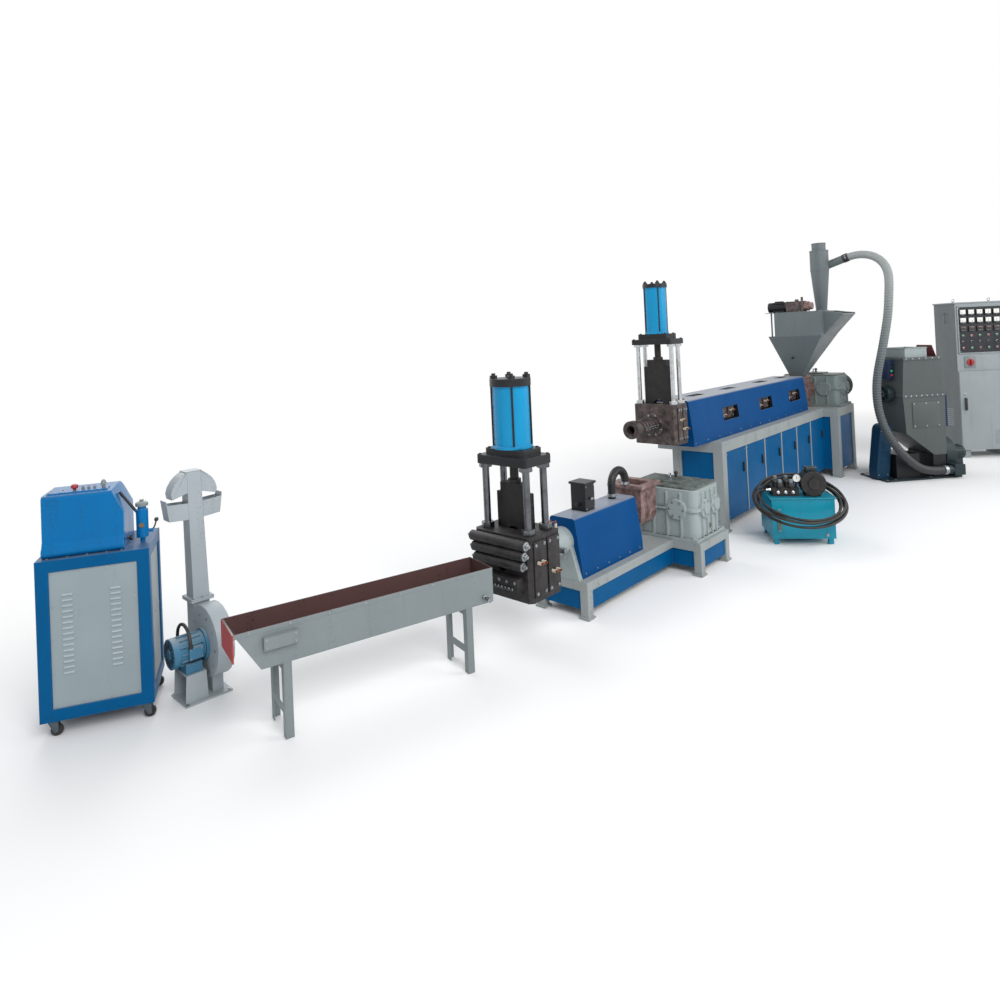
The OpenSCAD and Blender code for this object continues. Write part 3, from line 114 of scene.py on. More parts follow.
def paint(name, colour, worn, grime=0.35, gloss=0.34, wave=0.0, dust=0.0, chip=0.35, shine=0.35):
    """Enamel sprayed on steel: orange peel, colour drift, dirt in specks and runs, rubbed edges, dust."""
    material, tree, shader, place = new_material(name)
    # Drift over about 400 mm, specks of about 12 mm, runs 60 mm wide and eight times as tall
    drift = put(tree, "TexNoise", {"Vector": place, "Scale": 2.5, "Detail": 3.0, "Roughness": 0.55})
    speck = put(tree, "TexNoise", {"Vector": place, "Scale": 85.0, "Detail": 4.0, "Roughness": 0.65})
    tall = put(tree, "Mapping", {"Vector": place, "Scale": (1.0, 1.0, 0.12)})
    runs = put(tree, "TexNoise", {"Vector": tall.outputs["Vector"], "Scale": 16.0, "Detail": 3.0})
    dark = [c * 0.74 for c in linear(colour)[:3]] + [1]
    coat = put(tree, "Mix", {FACTOR: drift.outputs["Fac"], FIRST: linear(colour), SECOND: dark},
               data_type="RGBA")
    # Dirt gathers where specks and runs are both strong
    both = put(tree, "Math", {0: speck.outputs["Fac"], 1: runs.outputs["Fac"]}, operation="MULTIPLY")
    dirt = put(tree, "MapRange", {"Value": both.outputs[0], "From Min": 0.31, "From Max": 0.47,
                                  "To Min": 0.0, "To Max": grime})
    coat = put(tree, "Mix", {FACTOR: dirt.outputs[0], FIRST: coat.outputs[MIXED], SECOND: linear("2b2723")},
               data_type="RGBA")
    # Edges: where the rounded normal leaves the true one, paint is rubbed through in places
    round_edge = put(tree, "Bevel", {"Radius": 0.006}, samples=4)
    face = put(tree, "NewGeometry")
    same = put(tree, "VectorMath", {0: round_edge.outputs["Normal"], 1: face.outputs["Normal"]},
               operation="DOT_PRODUCT")
    edge = put(tree, "MapRange", {"Value": same.outputs["Value"], "From Min": 0.985, "From Max": 0.90})
    rub = put(tree, "MapRange", {"Value": speck.outputs["Fac"], "From Min": 0.40, "From Max": 0.62,
                                 "To Min": 0.0, "To Max": chip})
    bare = put(tree, "Math", {0: edge.outputs[0], 1: rub.outputs[0]}, operation="MULTIPLY")
    coat = put(tree, "Mix", {FACTOR: bare.outputs[0], FIRST: coat.outputs[MIXED], SECOND: linear(worn)},
               data_type="RGBA")
    # Dust lies on what faces up
    up = put(tree, "SeparateXYZ", {"Vector": face.outputs["Normal"]})
    lie = put(tree, "MapRange", {"Value": up.outputs["Z"], "From Min": 0.55, "From Max": 1.0,
                                 "To Min": 0.0, "To Max": dust})
    thin = put(tree, "MapRange", {"Value": drift.outputs["Fac"], "From Min": 0.25, "From Max": 0.75,
                                  "To Min": 0.6, "To Max": 1.2})
    film = put(tree, "Math", {0: lie.outputs[0], 1: thin.outputs[0]}, operation="MULTIPLY")
    coat = put(tree, "Mix", {FACTOR: film.outputs[0], FIRST: coat.outputs[MIXED], SECOND: linear("b4b5b2")},
               data_type="RGBA")
    rough = put(tree, "MapRange", {"Value": drift.outputs["Fac"], "From Min": 0.3, "From Max": 0.7,
                                   "To Min": gloss - 0.06, "To Max": gloss + 0.10})
    # Orange peel of about 4 mm, and the slow wave of thin sheet
    peel = put(tree, "TexNoise", {"Vector": place, "Scale": 260.0, "Detail": 1.0})
    skin = put(tree, "Bump", {"Height": peel.outputs["Fac"], "Strength": 0.05, "Distance": 0.001})
    if wave:
        slow = put(tree, "TexNoise", {"Vector": place, "Scale": 7.0, "Detail": 0.0})
        skin = put(tree, "Bump", {"Height": slow.outputs["Fac"], "Strength": wave, "Distance": 0.02,
                                  "Normal": skin.outputs["Normal"]})
    feed(tree, shader, {"Base Color": coat.outputs[MIXED], "Roughness": rough.outputs[0],
                        "Normal": skin.outputs["Normal"], "Specular IOR Level": shine})
    return material


def iron(name, colour, burnt, crust, rough=0.55, metallic=0.3):
    """Cast or burnt iron: sand-cast grain, scale in patches and oily dark places."""
    material, tree, shader, place = new_material(name)
    # Patches of about 60 mm, grain of about 5 mm, pits of about 8 mm
    patch = put(tree, "TexNoise", {"Vector": place, "Scale": 16.0, "Detail": 6.0, "Roughness": 0.7})
    grain = put(tree, "TexNoise", {"Vector": place, "Scale": 200.0, "Detail": 3.0})
    pit = put(tree, "TexVoronoi", {"Vector": place, "Scale": 120.0})
    ramp = put(tree, "ValToRGB", {"Fac": patch.outputs["Fac"]})
    stops = ramp.color_ramp.elements
    for stop, (at, tone) in zip([*stops, stops.new(0.7)], ((0.36, burnt), (0.56, colour), (0.72, crust))):
        stop.position = at
        stop.color = linear(tone)
    gleam = put(tree, "MapRange", {"Value": patch.outputs["Fac"], "From Min": 0.3, "From Max": 0.7,
                                   "To Min": rough - 0.15, "To Max": rough + 0.12})
    coarse = put(tree, "Bump", {"Height": pit.outputs["Distance"], "Strength": 0.12, "Distance": 0.002})
    bump = put(tree, "Bump", {"Height": grain.outputs["Fac"], "Strength": 0.22, "Distance": 0.0015,
                              "Normal": coarse.outputs["Normal"]})
    feed(tree, shader, {"Base Color": ramp.outputs["Color"], "Roughness": gleam.outputs[0],
                        "Normal": bump.outputs["Normal"], "Metallic": metallic})
    return material


def bright_metal(name, colour, stain, rough=0.22, along=(1, 1, 0.04)):
    """Ground or plated metal: fine lines along the work, and thumbed, oily places."""
    material, tree, shader, place = new_material(name)
    # Grinding lines about 1.5 mm apart, oil in patches of about 70 mm
    drawn_out = put(tree, "Mapping", {"Vector": place, "Scale": along})
    lines = put(tree, "TexNoise", {"Vector": drawn_out.outputs["Vector"], "Scale": 700.0, "Detail": 2.0})
    oil = put(tree, "TexNoise", {"Vector": place, "Scale": 14.0, "Detail": 5.0, "Roughness": 0.6})
    film = put(tree, "MapRange", {"Value": oil.outputs["Fac"], "From Min": 0.45, "From Max": 0.75,
                                  "To Min": 0.0, "To Max": 0.6})
    tone = put(tree, "Mix", {FACTOR: film.outputs[0], FIRST: linear(colour), SECOND: linear(stain)},
               data_type="RGBA")
    gleam = put(tree, "MapRange", {"Value": lines.outputs["Fac"], "From Min": 0.3, "From Max": 0.7,
                                   "To Min": rough - 0.06, "To Max": rough + 0.10})
    bump = put(tree, "Bump", {"Height": lines.outputs["Fac"], "Strength": 0.06, "Distance": 0.0005})
    feed(tree, shader, {"Base Color": tone.outputs[MIXED], "Roughness": gleam.outputs[0],
                        "Normal": bump.outputs["Normal"], "Metallic": 1.0})
    return material


def moulded(name, colour="", bloom_colour="", rough=0.45, shine=0.4, fade=()):
    """Moulded rubber, plastic or ceramic: fine matt grain, and either a bloom of dust or tones set by height, a
    painted shade darker towards the floor.
    """
    material, tree, shader, place = new_material(name)
    # Bloom in patches of about 90 mm, grain of about 3 mm
    bloom = put(tree, "TexNoise", {"Vector": place, "Scale": 11.0, "Detail": 5.0, "Roughness": 0.6})
    skin = put(tree, "TexNoise", {"Vector": place, "Scale": 320.0, "Detail": 2.0})
    # Painted shade: with fade given, the tone is set by height and is darker towards the floor
    if fade:
        height = put(tree, "SeparateXYZ", {"Vector": place})
        level = put(tree, "MapRange", {"Value": height.outputs["Z"], "From Min": 0.1, "From Max": 2.6})
        ramp = put(tree, "ValToRGB", {"Fac": level.outputs[0]})
        stops = ramp.color_ramp.elements
        for at, shade in fade:
            stop = stops[0] if at == 0 else stops[-1] if at == 1 else stops.new(at)
            stop.color = linear(shade)
        tone = ramp.outputs["Color"]
    else:
        amount = put(tree, "MapRange", {"Value": bloom.outputs["Fac"], "From Min": 0.35, "From Max": 0.75})
        mix = put(tree, "Mix", {FACTOR: amount.outputs[0], FIRST: linear(colour), SECOND: linear(bloom_colour)},
                  data_type="RGBA")
        tone = mix.outputs[MIXED]
    gleam = put(tree, "MapRange", {"Value": bloom.outputs["Fac"], "From Min": 0.3, "From Max": 0.7,
                                   "To Min": rough - 0.06, "To Max": rough + 0.10})
    bump = put(tree, "Bump", {"Height": skin.outputs["Fac"], "Strength": 0.08, "Distance": 0.0008})
    feed(tree, shader, {"Base Color": tone, "Roughness": gleam.outputs[0],
                        "Normal": bump.outputs["Normal"], "Specular IOR Level": shine})
    return material


FINISH = {
    # Blues: deep on covers and panels, brighter on the pelletizer's hood and the press cylinders
    "machine_blue": paint("blue_stove_enamel", "035689", "6d8799", wave=0.05, dust=0.2, shine=0.06),
    "cover_blue": paint("blue_cover_enamel", "024780", "6d8799", wave=0.04, dust=0.65, shine=0.06),
    "hood_blue": paint("blue_hood_enamel", "026ba8", "8fb0c4", gloss=0.28, wave=0.12, dust=0.15, shine=0.14),
    "bright_blue": paint("bright_blue_enamel", "0690c4", "8fa9ba", grime=0.2, gloss=0.20, shine=0.25),
    "motor_blue": paint("dusty_blue_motor_enamel", "3f7695", "7f8f97", grime=0.5, gloss=0.42, dust=0.5),
    "guard_blue": paint("dark_blue_guard_enamel", "173b55", "55656f", gloss=0.40, shine=0.15),
    "navy": paint("navy_box_enamel", "1c2d49", "5b6474", gloss=0.40, shine=0.2),
    # Greys: blue-grey sheet, paler blower, beige platforms, green-grey castings, matt powder coat, a painted
    # highlight for the louvres and a painted shade for the cabinet's sides
    "panel_grey": paint("blue_grey_panel_enamel", "919ea3", "5f6461", grime=0.2, gloss=0.42, wave=0.05),
    "machine_grey": paint("grey_sheet_enamel", "7e8789", "5f6461", grime=0.22, gloss=0.42, wave=0.05,
                          dust=0.15),
    "blower_grey": paint("pale_blower_enamel", "a4adb2", "6f7371", grime=0.25, gloss=0.45, wave=0.05, dust=0.1),
    # Painted highlight: a paler grey for the upper faces of the pelletizer's louvres
    "louvre_painted_highlight": paint("louvre_painted_highlight_enamel", "a9b4b9", "8f989b", grime=0.1, gloss=0.34),
    # Painted shade: the cabinet's left and right sides are coloured darker than its front
    "cabinet_side_painted_shade": paint("painted_shade_cabinet_side_coat", "6b7173", "565a5b", grime=0.25, gloss=0.48),
    "pale_grey": paint("pale_grey_enamel", "9aa5a6", "6f7371", grime=0.4, gloss=0.42, dust=0.2),
    "platform_grey": paint("beige_grey_enamel", "989e9e", "6f7371", grime=0.5, gloss=0.45, dust=0.2),
    "hopper_grey": paint("hopper_grey_enamel", "646d70", "8c9496", grime=0.3, gloss=0.40, wave=0.05),
    "gear_grey": paint("green_grey_casting_enamel", "7d8a88", "5a615f", grime=0.6, gloss=0.45, wave=0.12),
    "crusher_grey": paint("crusher_grey_enamel", "505656", "8c9496", grime=0.4, gloss=0.40, wave=0.05),
    "cabinet_grey": paint("cabinet_powder_coat", "959da0", "6f7371", grime=0.25, gloss=0.48),
    # Iron and plate: burnt and oily round the dies, chipped enamel on plate
    "dark_iron": iron("burnt_die_iron", "2b2a2d", "151416", "3b3737"),
    "brown_iron": iron("oily_brown_iron", "483f41", "1e1b1b", "6a5d5a"),
    "slide_iron": iron("oiled_slide_iron", "1a191b", "0d0c0d", "2b2826", rough=0.5),
    "throat_iron": iron("pink_brown_throat_iron", "8c6c69", "553d3b", "a68b86", rough=0.5),
    "lid_iron": iron("olive_lid_iron", "5b6460", "3a403d", "737c77", rough=0.5, metallic=0.1),
    "black_plate": paint("black_plate_enamel", "15171b", "4a4c50", grime=0.2, gloss=0.36, chip=0.5),
    "dark_green": paint("dark_green_enamel", "1f2e33", "54605f", grime=0.45, gloss=0.40, chip=0.5),
    # Bright work: ground rods, zinc, copper
    "steel": bright_metal("ground_steel", "c4c7ca", "77736b"),
    "oiled_steel": bright_metal("oiled_dark_rod", "6a6c70", "26262a", rough=0.26),
    "bolt_steel": bright_metal("zinc_plated_bolt", "9a9ea2", "5d5a55", rough=0.34, along=(1, 1, 1)),
    "fork_zinc": bright_metal("dull_zinc_fork", "5b666d", "34393c", rough=0.5, along=(1, 1, 1)),
    "copper": bright_metal("copper_strap", "9c6144", "4a2c21", rough=0.36, along=(1, 1, 1)),
    # Paint of other colours
    "teal": paint("teal_tank_enamel", "0f8fa9", "5d7f86", grime=0.3, gloss=0.32, wave=0.06),
    "red_oxide": paint("red_oxide_primer", "593f3e", "3d2a27", grime=0.7, gloss=0.55),
    "lip_red": paint("red_lip_enamel", "b0423a", "6d3a35", grime=0.4, gloss=0.42),
    "flap_red": paint("dark_red_flap_enamel", "5a2325", "3d2a27", grime=0.4, gloss=0.42),
    # Moulded pieces: rubber, the hose with a painted shade that darkens it towards the floor, knobs, lenses and
    # glass
    "black_rubber": moulded("black_hose_rubber", "1a1a1b", "3d3a37", 0.48),
    "hose_grey": moulded("grey_ribbed_hose", rough=0.40,
                         fade=((0, "333435"), (0.5, "535b5f"), (0.84, "828887"), (1, "8d9392"))),
    "instrument_black": moulded("black_panel_laminate", "15171d", "23262c", 0.40),
    "knob_red": moulded("red_knob_plastic", "a11d22", "7c1a1d", 0.32, shine=0.6),
    "knob_black": moulded("black_knob_plastic", "161618", "26262a", 0.34, shine=0.6),
    "ceramic": moulded("terminal_ceramic", "cfc8ba", "aa9f90", 0.36),
    "meter_card": moulded("white_meter_card", "e6e7e2", "d6d7d2", 0.45),
    "lamp_red": moulded("red_lamp_lens", "c22a20", "9a1f18", 0.22, shine=0.8),
    "lamp_green": moulded("green_lamp_lens", "1f9a4a", "177a3a", 0.22, shine=0.8),
    "oil_glass": moulded("oil_level_glass", "6a5526", "4a3c1c", 0.16, shine=0.9),
    "display": moulded("unlit_red_display", "4a1513", "30100f", 0.18, shine=0.8),
}
# What a solid wears when its own finish isn't the one its slot is named for
WEARS = {node: finish for finish, nodes in {
    "cover_blue": "second_barrel_cover main_barrel_cover",
    "hood_blue": "pelletizer_hood pelletizer_oil_cup",
    "motor_blue": "blower_motor",
    "guard_blue": "crusher_belt_guard",
    "panel_grey": "pelletizer_panels",
    "blower_grey": "blower_base blower_volute blower_duct pellet_outlet_head",
    "platform_grey": "second_frame main_frame",
    "hopper_grey": "main_hopper cyclone",
    "gear_grey": "main_gearbox",
    "crusher_grey": "crusher_body",
    "cabinet_grey": "cabinet_body cabinet_door",
    "throat_iron": "second_feed_throat main_barrel",
    "slide_iron": "second_screen_slide main_screen_slide",
    "oiled_steel": "second_tie_rods",
    "fork_zinc": "caster_fork_1 caster_fork_2 caster_fork_3 caster_fork_4",
}.items() for node in nodes.split()}


# Shop work: each piece is modelled in its station's own frame (mm), then settled into the row's frame

def new_object(name, data):
    piece = bpy.data.objects.new(name, data)
    bpy.context.scene.collection.objects.link(piece)
    return piece


def fresh():
    """Object mode, with nothing selected."""
    if bpy.context.object and bpy.context.object.mode != "OBJECT":
        bpy.ops.object.mode_set(mode="OBJECT")
    bpy.ops.object.select_all(action="DESELECT")


def pick(*pieces):
    """Selects these pieces alone, the first of them active."""
    fresh()
    for piece in pieces:
        piece.select_set(True)
    bpy.context.view_layer.objects.active = pieces[0]


def edit(piece):
    pick(piece)
    bpy.ops.object.mode_set(mode="EDIT")
    bpy.ops.mesh.select_all(action="SELECT")


def shift(p):
    return Matrix.Translation(Vector(p) / MM)


def turn_to(axis):
    return Vector(UP).rotation_difference(Vector(axis)).to_matrix().to_4x4()


def settle(piece, where, finish, body="line", angle=35):
    """Puts the piece's place into its mesh, gives it its finish and lets it ride."""
    pick(piece)
    bpy.context.view_layer.update()
    piece.data.transform(station(where) @ piece.matrix_world)
    piece.matrix_world = Matrix.Identity(4)
    bpy.ops.object.shade_smooth_by_angle(angle=math.radians(angle))
    piece.data.materials.clear()
    piece.data.materials.append(FINISH[finish])
    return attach(piece, body)


def eased(node, width):
    """A copy of a solid with its sharp edges eased, which stands for the solid."""
    solid = frame["nodes"][node]
    piece = new_object(node + "_eased", solid.data.copy())
    edit(piece)
    bpy.ops.mesh.remove_doubles(threshold=0.00005)
    bpy.ops.mesh.dissolve_limited(angle_limit=math.radians(0.6))
    pick(piece)
    bevel = piece.modifiers.new("ease", "BEVEL")
    bevel.limit_method = "ANGLE"
    bevel.angle_limit = math.radians(40)
    bevel.width = width
    bevel.segments = 2
    bevel.use_clamp_overlap = False
    bpy.ops.object.modifier_apply(modifier="ease")
    settle(piece, "floor", WEARS.get(node, SLOTS[node]), solid["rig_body"])
    # Broad faces stay flat up to their eased edges
    flat = piece.modifiers.new("flat", "WEIGHTED_NORMAL")
    flat.keep_sharp = True
    bpy.ops.object.modifier_apply(modifier="flat")
    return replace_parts(piece, node)


def second_coat(piece, where, finish, chosen):
    """Another finish on the faces whose middle (mm) and normal, in the station's frame, are chosen."""
    back = station(where).inverted()
    piece.data.materials.append(FINISH[finish])
    for face in piece.data.polygons:
        if chosen(*(back @ face.center * MM), back.to_3x3() @ face.normal):
            face.material_index = len(piece.data.materials) - 1


def block(low, high, ease=3):
    """A bar, plate or box between two corners, with eased edges."""
    low, high = Vector(low) / MM, Vector(high) / MM
    fresh()
    bpy.ops.mesh.primitive_cube_add(size=1, location=(low + high) / 2)
    piece = bpy.context.object
    piece.scale = high - low
    bpy.ops.object.transform_apply(location=True, rotation=False, scale=True)
    edit(piece)
    bpy.ops.mesh.bevel(offset=ease / MM, segments=2, affect="EDGES")
    fresh()
    return piece


def turned(profile, at=(0, 0, 0), axis=UP, sides=24):
    """A piece off the lathe: a disc drawn up ring by ring, each ring a radius and a height."""
    fresh()
    radius, height = profile[0]
    bpy.ops.mesh.primitive_circle_add(vertices=sides, radius=radius / MM, fill_type="NGON",
                                      location=(0, 0, height / MM))
    piece = bpy.context.object
    bpy.ops.object.transform_apply(location=True)
    edit(piece)
    for (r0, h0), (r1, h1) in zip(profile, profile[1:]):
        bpy.ops.mesh.extrude_region_move(TRANSFORM_OT_translate={"value": (0, 0, (h1 - h0) / MM)})
        bpy.ops.transform.resize(value=(r1 / r0, r1 / r0, 1), center_override=(0, 0, h1 / MM))
    bpy.ops.mesh.select_all(action="SELECT")
    bpy.ops.mesh.normals_make_consistent(inside=False)
    fresh()
    piece.data.transform(shift(at) @ turn_to(axis))
    return piece


def catmull(points, steps):
    """A smooth line through the points."""
    pts = [Vector(p) for p in points]
    pts = [2 * pts[0] - pts[1]] + pts + [2 * pts[-1] - pts[-2]]
    line = []
    for i in range(1, len(pts) - 2):
        a, b, c, d = pts[i - 1:i + 3]
        for k in range(steps):
            t = k / steps
            line.append(0.5 * (2 * b + (c - a) * t + (2 * a - 5 * b + 4 * c - d) * t * t
                               + (3 * b - a - 3 * c + d) * t ** 3))
    return line + [pts[-2]]


def drawn(name, line, radius, resolution):
    """A round curve along the line."""
    data = bpy.data.curves.new(name, "CURVE")
    data.dimensions = "3D"
    data.bevel_depth = radius
    data.bevel_resolution = resolution
    data.use_fill_caps = True
    spline = data.splines.new("POLY")
    spline.points.add(len(line) - 1)
    for point, p in zip(spline.points, line):
        point.co = (*p, 1)
    return new_object(name, data)


def pipe(points, d):
    """A bent bar or pipe along the points."""
    pick(drawn("pipe", catmull([Vector(p) / MM for p in points], 6), d / 2 / MM, 2))
    bpy.ops.object.convert(target="MESH")
    return bpy.context.object


def gather(pieces):
    """Pieces joined into the first of them."""
    pick(*pieces)
    if len(pieces) > 1:
        bpy.ops.object.join()
    return pieces[0]


def copies(model, moves):
    """The model set down once for every move, each copy with its own mesh, and the model cleared away."""
    made = []
    for move in moves:
        piece = new_object("copy", model.data.copy())
        piece.data.transform(move)
        made.append(piece)
    bpy.data.objects.remove(model)
    return gather(made)


def ring_of(model, count, at, axis):
    """Copies of a model set round an axis."""
    place = shift(at) @ turn_to(axis)
    return copies(model, [place @ Matrix.Rotation(2 * math.pi * i / count, 4, "Z") for i in range(count)])


def row_of(model, places):
    """Copies of a model set down at places in the station's frame."""
    return copies(model, [shift(p) for p in places])


def circle_of(at, radius, count, axis, first=0.0):
    """Places on a circle about an axis."""
    turn = turn_to(axis).to_3x3()
    angles = [first + 2 * math.pi * i / count for i in range(count)]
    return [Vector(at) + turn @ Vector((radius * math.cos(a), radius * math.sin(a), 0)) for a in angles]


def grid(xs, ys, zs):
    """Places at every crossing of the values; a lone number stands for a row of one."""
    return list(product(*(v if hasattr(v, "__iter__") else [v] for v in (xs, ys, zs))))


def fit_at(where, name, finish, *pieces, body="line"):
    """Pieces of one finish, joined under one name and settled at their station."""
    piece = gather(pieces)
    piece.name = name
    return settle(piece, where, finish, body)


def bolt_at(where, name, places, axis, size, finish="bolt_steel"):
    """Hexagon bolts on washers, every head turned a little further than the last."""
    head = turned([(size, 0), (size, size * 0.62), (size * 0.82, size * 0.72)], sides=6)
    washer = turned([(size * 1.3, -1), (size * 1.3, size * 0.16), (size * 1.15, size * 0.2)], sides=14)
    turn = turn_to(axis)
    moves = [shift(p) @ turn @ Matrix.Rotation(0.41 * i, 4, "Z") for i, p in enumerate(places)]
    return fit_at(where, name, finish, copies(gather([head, washer]), moves))


def tools(where):
    """Fitting and bolting at one station."""
    return partial(fit_at, where), partial(bolt_at, where)


# Camera at the photograph's viewing angle

def photo_camera():
    yaw, pitch, roll = (math.radians(a) for a in (-47.57, -0.69, -2.56))
    look = Vector((-math.sin(yaw) * math.cos(pitch), math.cos(yaw) * math.cos(pitch), -math.sin(pitch)))
    right = Vector((math.cos(yaw), math.sin(yaw), 0))
    up = right.cross(look)
    side = math.cos(roll) * right + math.sin(roll) * up
    top = -math.sin(roll) * right + math.cos(roll) * up
    stand = Vector((-3.636, -2.625, 1.853))
    data = bpy.data.cameras.new("photo_camera")
    data.sensor_width = 36
    data.lens = 24.678
    data.shift_x = 0.0052
    data.shift_y = -0.1726
    data.clip_end = 200
    camera = new_object("photo_camera", data)
    camera.matrix_world = Matrix([*zip(side, top, -look, stand), (0, 0, 0, 1)])
    bpy.context.scene.camera = camera


# Studio: pale floor that fades to white, soft lamps and a white surround

def studio():
    bpy.ops.mesh.primitive_plane_add(size=120, location=(2, 0, -0.001))
    floor = bpy.context.object
    floor.name = "floor"
    material, tree, shader, place = new_material("pale_floor")
    oval = put(tree, "Mapping", {"Vector": place, "Scale": (0.42, 1.0, 1.0)})
    far = put(tree, "VectorMath", {0: oval.outputs["Vector"]}, operation="LENGTH")
    fade = put(tree, "MapRange", {"Value": far.outputs["Value"], "From Min": 2.6, "From Max": 4.4})
    feed(tree, shader, {"Base Color": linear("f4f4f4"), "Roughness": 0.9, "Specular IOR Level": 0.1})
    white = put(tree, "Emission", {"Color": (1, 1, 1, 1), "Strength": 1.0})
    blend = put(tree, "MixShader", {0: fade.outputs[0], 1: shader.outputs[0], 2: white.outputs[0]})
    feed(tree, tree.nodes["Material Output"], {"Surface": blend.outputs[0]})
    floor.data.materials.append(material)
    for name, at, aim, size, power in (
        ("key", (-3.5, -6.5, 6.5), (1.5, 0.3, 0.6), 5.0, 600),
        ("fill", (5.5, -7.0, 5.0), (3.5, 0, 0.8), 6.0, 320),
        ("rim", (1.0, 7.0, 6.5), (2.0, 0, 0.8), 7.0, 380),
    ):
        data = bpy.data.lights.new(name, "AREA")
        data.size = size
        data.energy = power
        lamp = new_object(name, data)
        lamp.location = at
        lamp.rotation_euler = (Vector(aim) - Vector(at)).to_track_quat("-Z", "Y").to_euler()
    world = bpy.data.worlds.new("surround")
    bpy.context.scene.world = world
    world.use_nodes = True
    tree = world.node_tree
    path = put(tree, "LightPath").outputs
    seen = put(tree, "Math", {0: path["Is Camera Ray"], 1: path["Is Glossy Ray"]}, operation="MAXIMUM")
    seen = put(tree, "Math", {0: seen.outputs[0], 1: path["Is Transmission Ray"]}, operation="MAXIMUM")
    soft = put(tree, "Background", {"Color": (0.96, 0.98, 1.0, 1), "Strength": 0.5})
    white = put(tree, "Background", {"Color": (1, 1, 1, 1), "Strength": 1.0})
    both = put(tree, "MixShader", {0: seen.outputs[0], 1: soft.outputs[0], 2: white.outputs[0]})
    feed(tree, tree.nodes["World Output"], {"Surface": both.outputs[0]})
    bpy.context.scene.view_settings.view_transform = "Standard"


# Cords: the ribbed conveying hose, the coiled hydraulic hose and the blower's motor cable

HOSE_ROUTE = [
    (5.3225, -0.2103, 2.6011), (5.3140, -0.3211, 2.6220), (5.2897, -0.4312, 2.6137), (5.2527, -0.5313, 2.5764),
    (5.2072, -0.6131, 2.5129), (5.1585, -0.6698, 2.4282), (5.1130, -0.6986, 2.3287), (5.0771, -0.7056, 2.2214),
    (5.0549, -0.7030, 2.1103), (5.0446, -0.6965, 1.9975), (5.0395, -0.6849, 1.8847), (5.0334, -0.6680, 1.7727),
    (5.0235, -0.6489, 1.6613), (5.0100, -0.6295, 1.5503), (4.9961, -0.6087, 1.4396), (4.9852, -0.5866, 1.3289),
    (4.9792, -0.5666, 1.2174), (4.9780, -0.5531, 1.1047), (4.9787, -0.5488, 0.9914), (4.9782, -0.5545, 0.8781),
    (4.9763, -0.5716, 0.7660), (4.9759, -0.6007, 0.6564), (4.9818, -0.6411, 0.5506), (5.0000, -0.6904, 0.4502),
    (5.0352, -0.7439, 0.3567), (5.0900, -0.7963, 0.2725), (5.1635, -0.8454, 0.2017), (5.2512, -0.8940, 0.1489),
    (5.3466, -0.9458, 0.1165), (5.4429, -1.0039, 0.1025), (5.5341, -1.0712, 0.1000),
]
RIB_STEP, RIB_PITCH, RIB_SIDES = 0.0055, 0.030, 20  # rings along the hose, turn of its rib (m), sides of a ring
HOSE_R, RIB_H = 0.0425, 0.0050
SMOOTHING = 60  # passes that ease the route's last small kinks


def even_path(line, step):
    """Points at even steps along a line."""
    gaps = [0.0]
    for a, b in zip(line, line[1:]):
        gaps.append(gaps[-1] + (b - a).length)
    total = gaps[-1]
    count = int(total / step)
    path, k = [], 0
    for i in range(count + 1):
        s = total * i / count
        while k < len(line) - 2 and gaps[k + 1] < s:
            k += 1
        path.append(line[k].lerp(line[k + 1], (s - gaps[k]) / (gaps[k + 1] - gaps[k])))
    return path, total


def conveying_hose():
    """Hose with a raised spiral rib: rings along the route, their radius rising and falling with the turn."""
    path, total = even_path(catmull(HOSE_ROUTE, 40), RIB_STEP)
    count = len(path) - 1
    for _ in range(SMOOTHING):
        path[1:-1] = [(a + 2 * b + c) / 4 for a, b, c in zip(path, path[1:], path[2:])]
    mesh = bmesh.new()
    rings, side = [], Vector((0.9, 0.43, 0.05))
    for i, p in enumerate(path):
        along = (path[min(i + 1, count)] - path[max(i - 1, 0)]).normalized()
        side = (side - along * side.dot(along)).normalized()
        other = along.cross(side)
        ring = []
        for j in range(RIB_SIDES):
            turn = 2 * math.pi * j / RIB_SIDES
            wave = 0.5 + 0.5 * math.cos(2 * math.pi * i * total / count / RIB_PITCH - turn)
            r = HOSE_R + RIB_H * wave ** 2
            ring.append(mesh.verts.new(p + r * (side * math.cos(turn) + other * math.sin(turn))))
        rings.append(ring)
    for a, b in zip(rings, rings[1:]):
        for j in range(RIB_SIDES):
            k = (j + 1) % RIB_SIDES
            mesh.faces.new((a[j], a[k], b[k], b[j]))
    mesh.faces.new(list(reversed(rings[0])))
    mesh.faces.new(rings[-1])
    data = bpy.data.meshes.new("conveying_hose_ribbed")
    mesh.to_mesh(data)
    mesh.free()
    piece = new_object("conveying_hose_ribbed", data)
    # The hose's finish carries a painted shade that is darker towards the floor
    settle(piece, "floor", "hose_grey", angle=80)
    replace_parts(piece, "conveying_hose")


def round_cord(name, line, d, finish):
    """A round hose or cable as a curve along the line."""
    piece = drawn(name, line, d / 2, 3)
    piece.data.materials.append(FINISH[finish])
    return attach(piece, "line")


COIL_MID, COIL_R, COIL_TILT = Vector((0.236, 0.052, 0.367)), 0.334, math.radians(22.7)
COIL_TURNS, COIL_POINTS = (196, 360 * 5 + 40), 92  # first and last angle of the coil (degrees)
COIL_LEAD = ((0.028, 0.130, 0.430), (-0.006, 0.130, 0.430), (-0.0665, 0.1138, 0.424), (-0.1108, 0.0695, 0.405),
             (-0.127, 0.009, 0.378))
COIL_TAIL = ((0.4795, 0.280, 0.464), (0.4394, 0.309, 0.4507), (0.410, 0.330, 0.4145), (0.399, 0.338, 0.368))


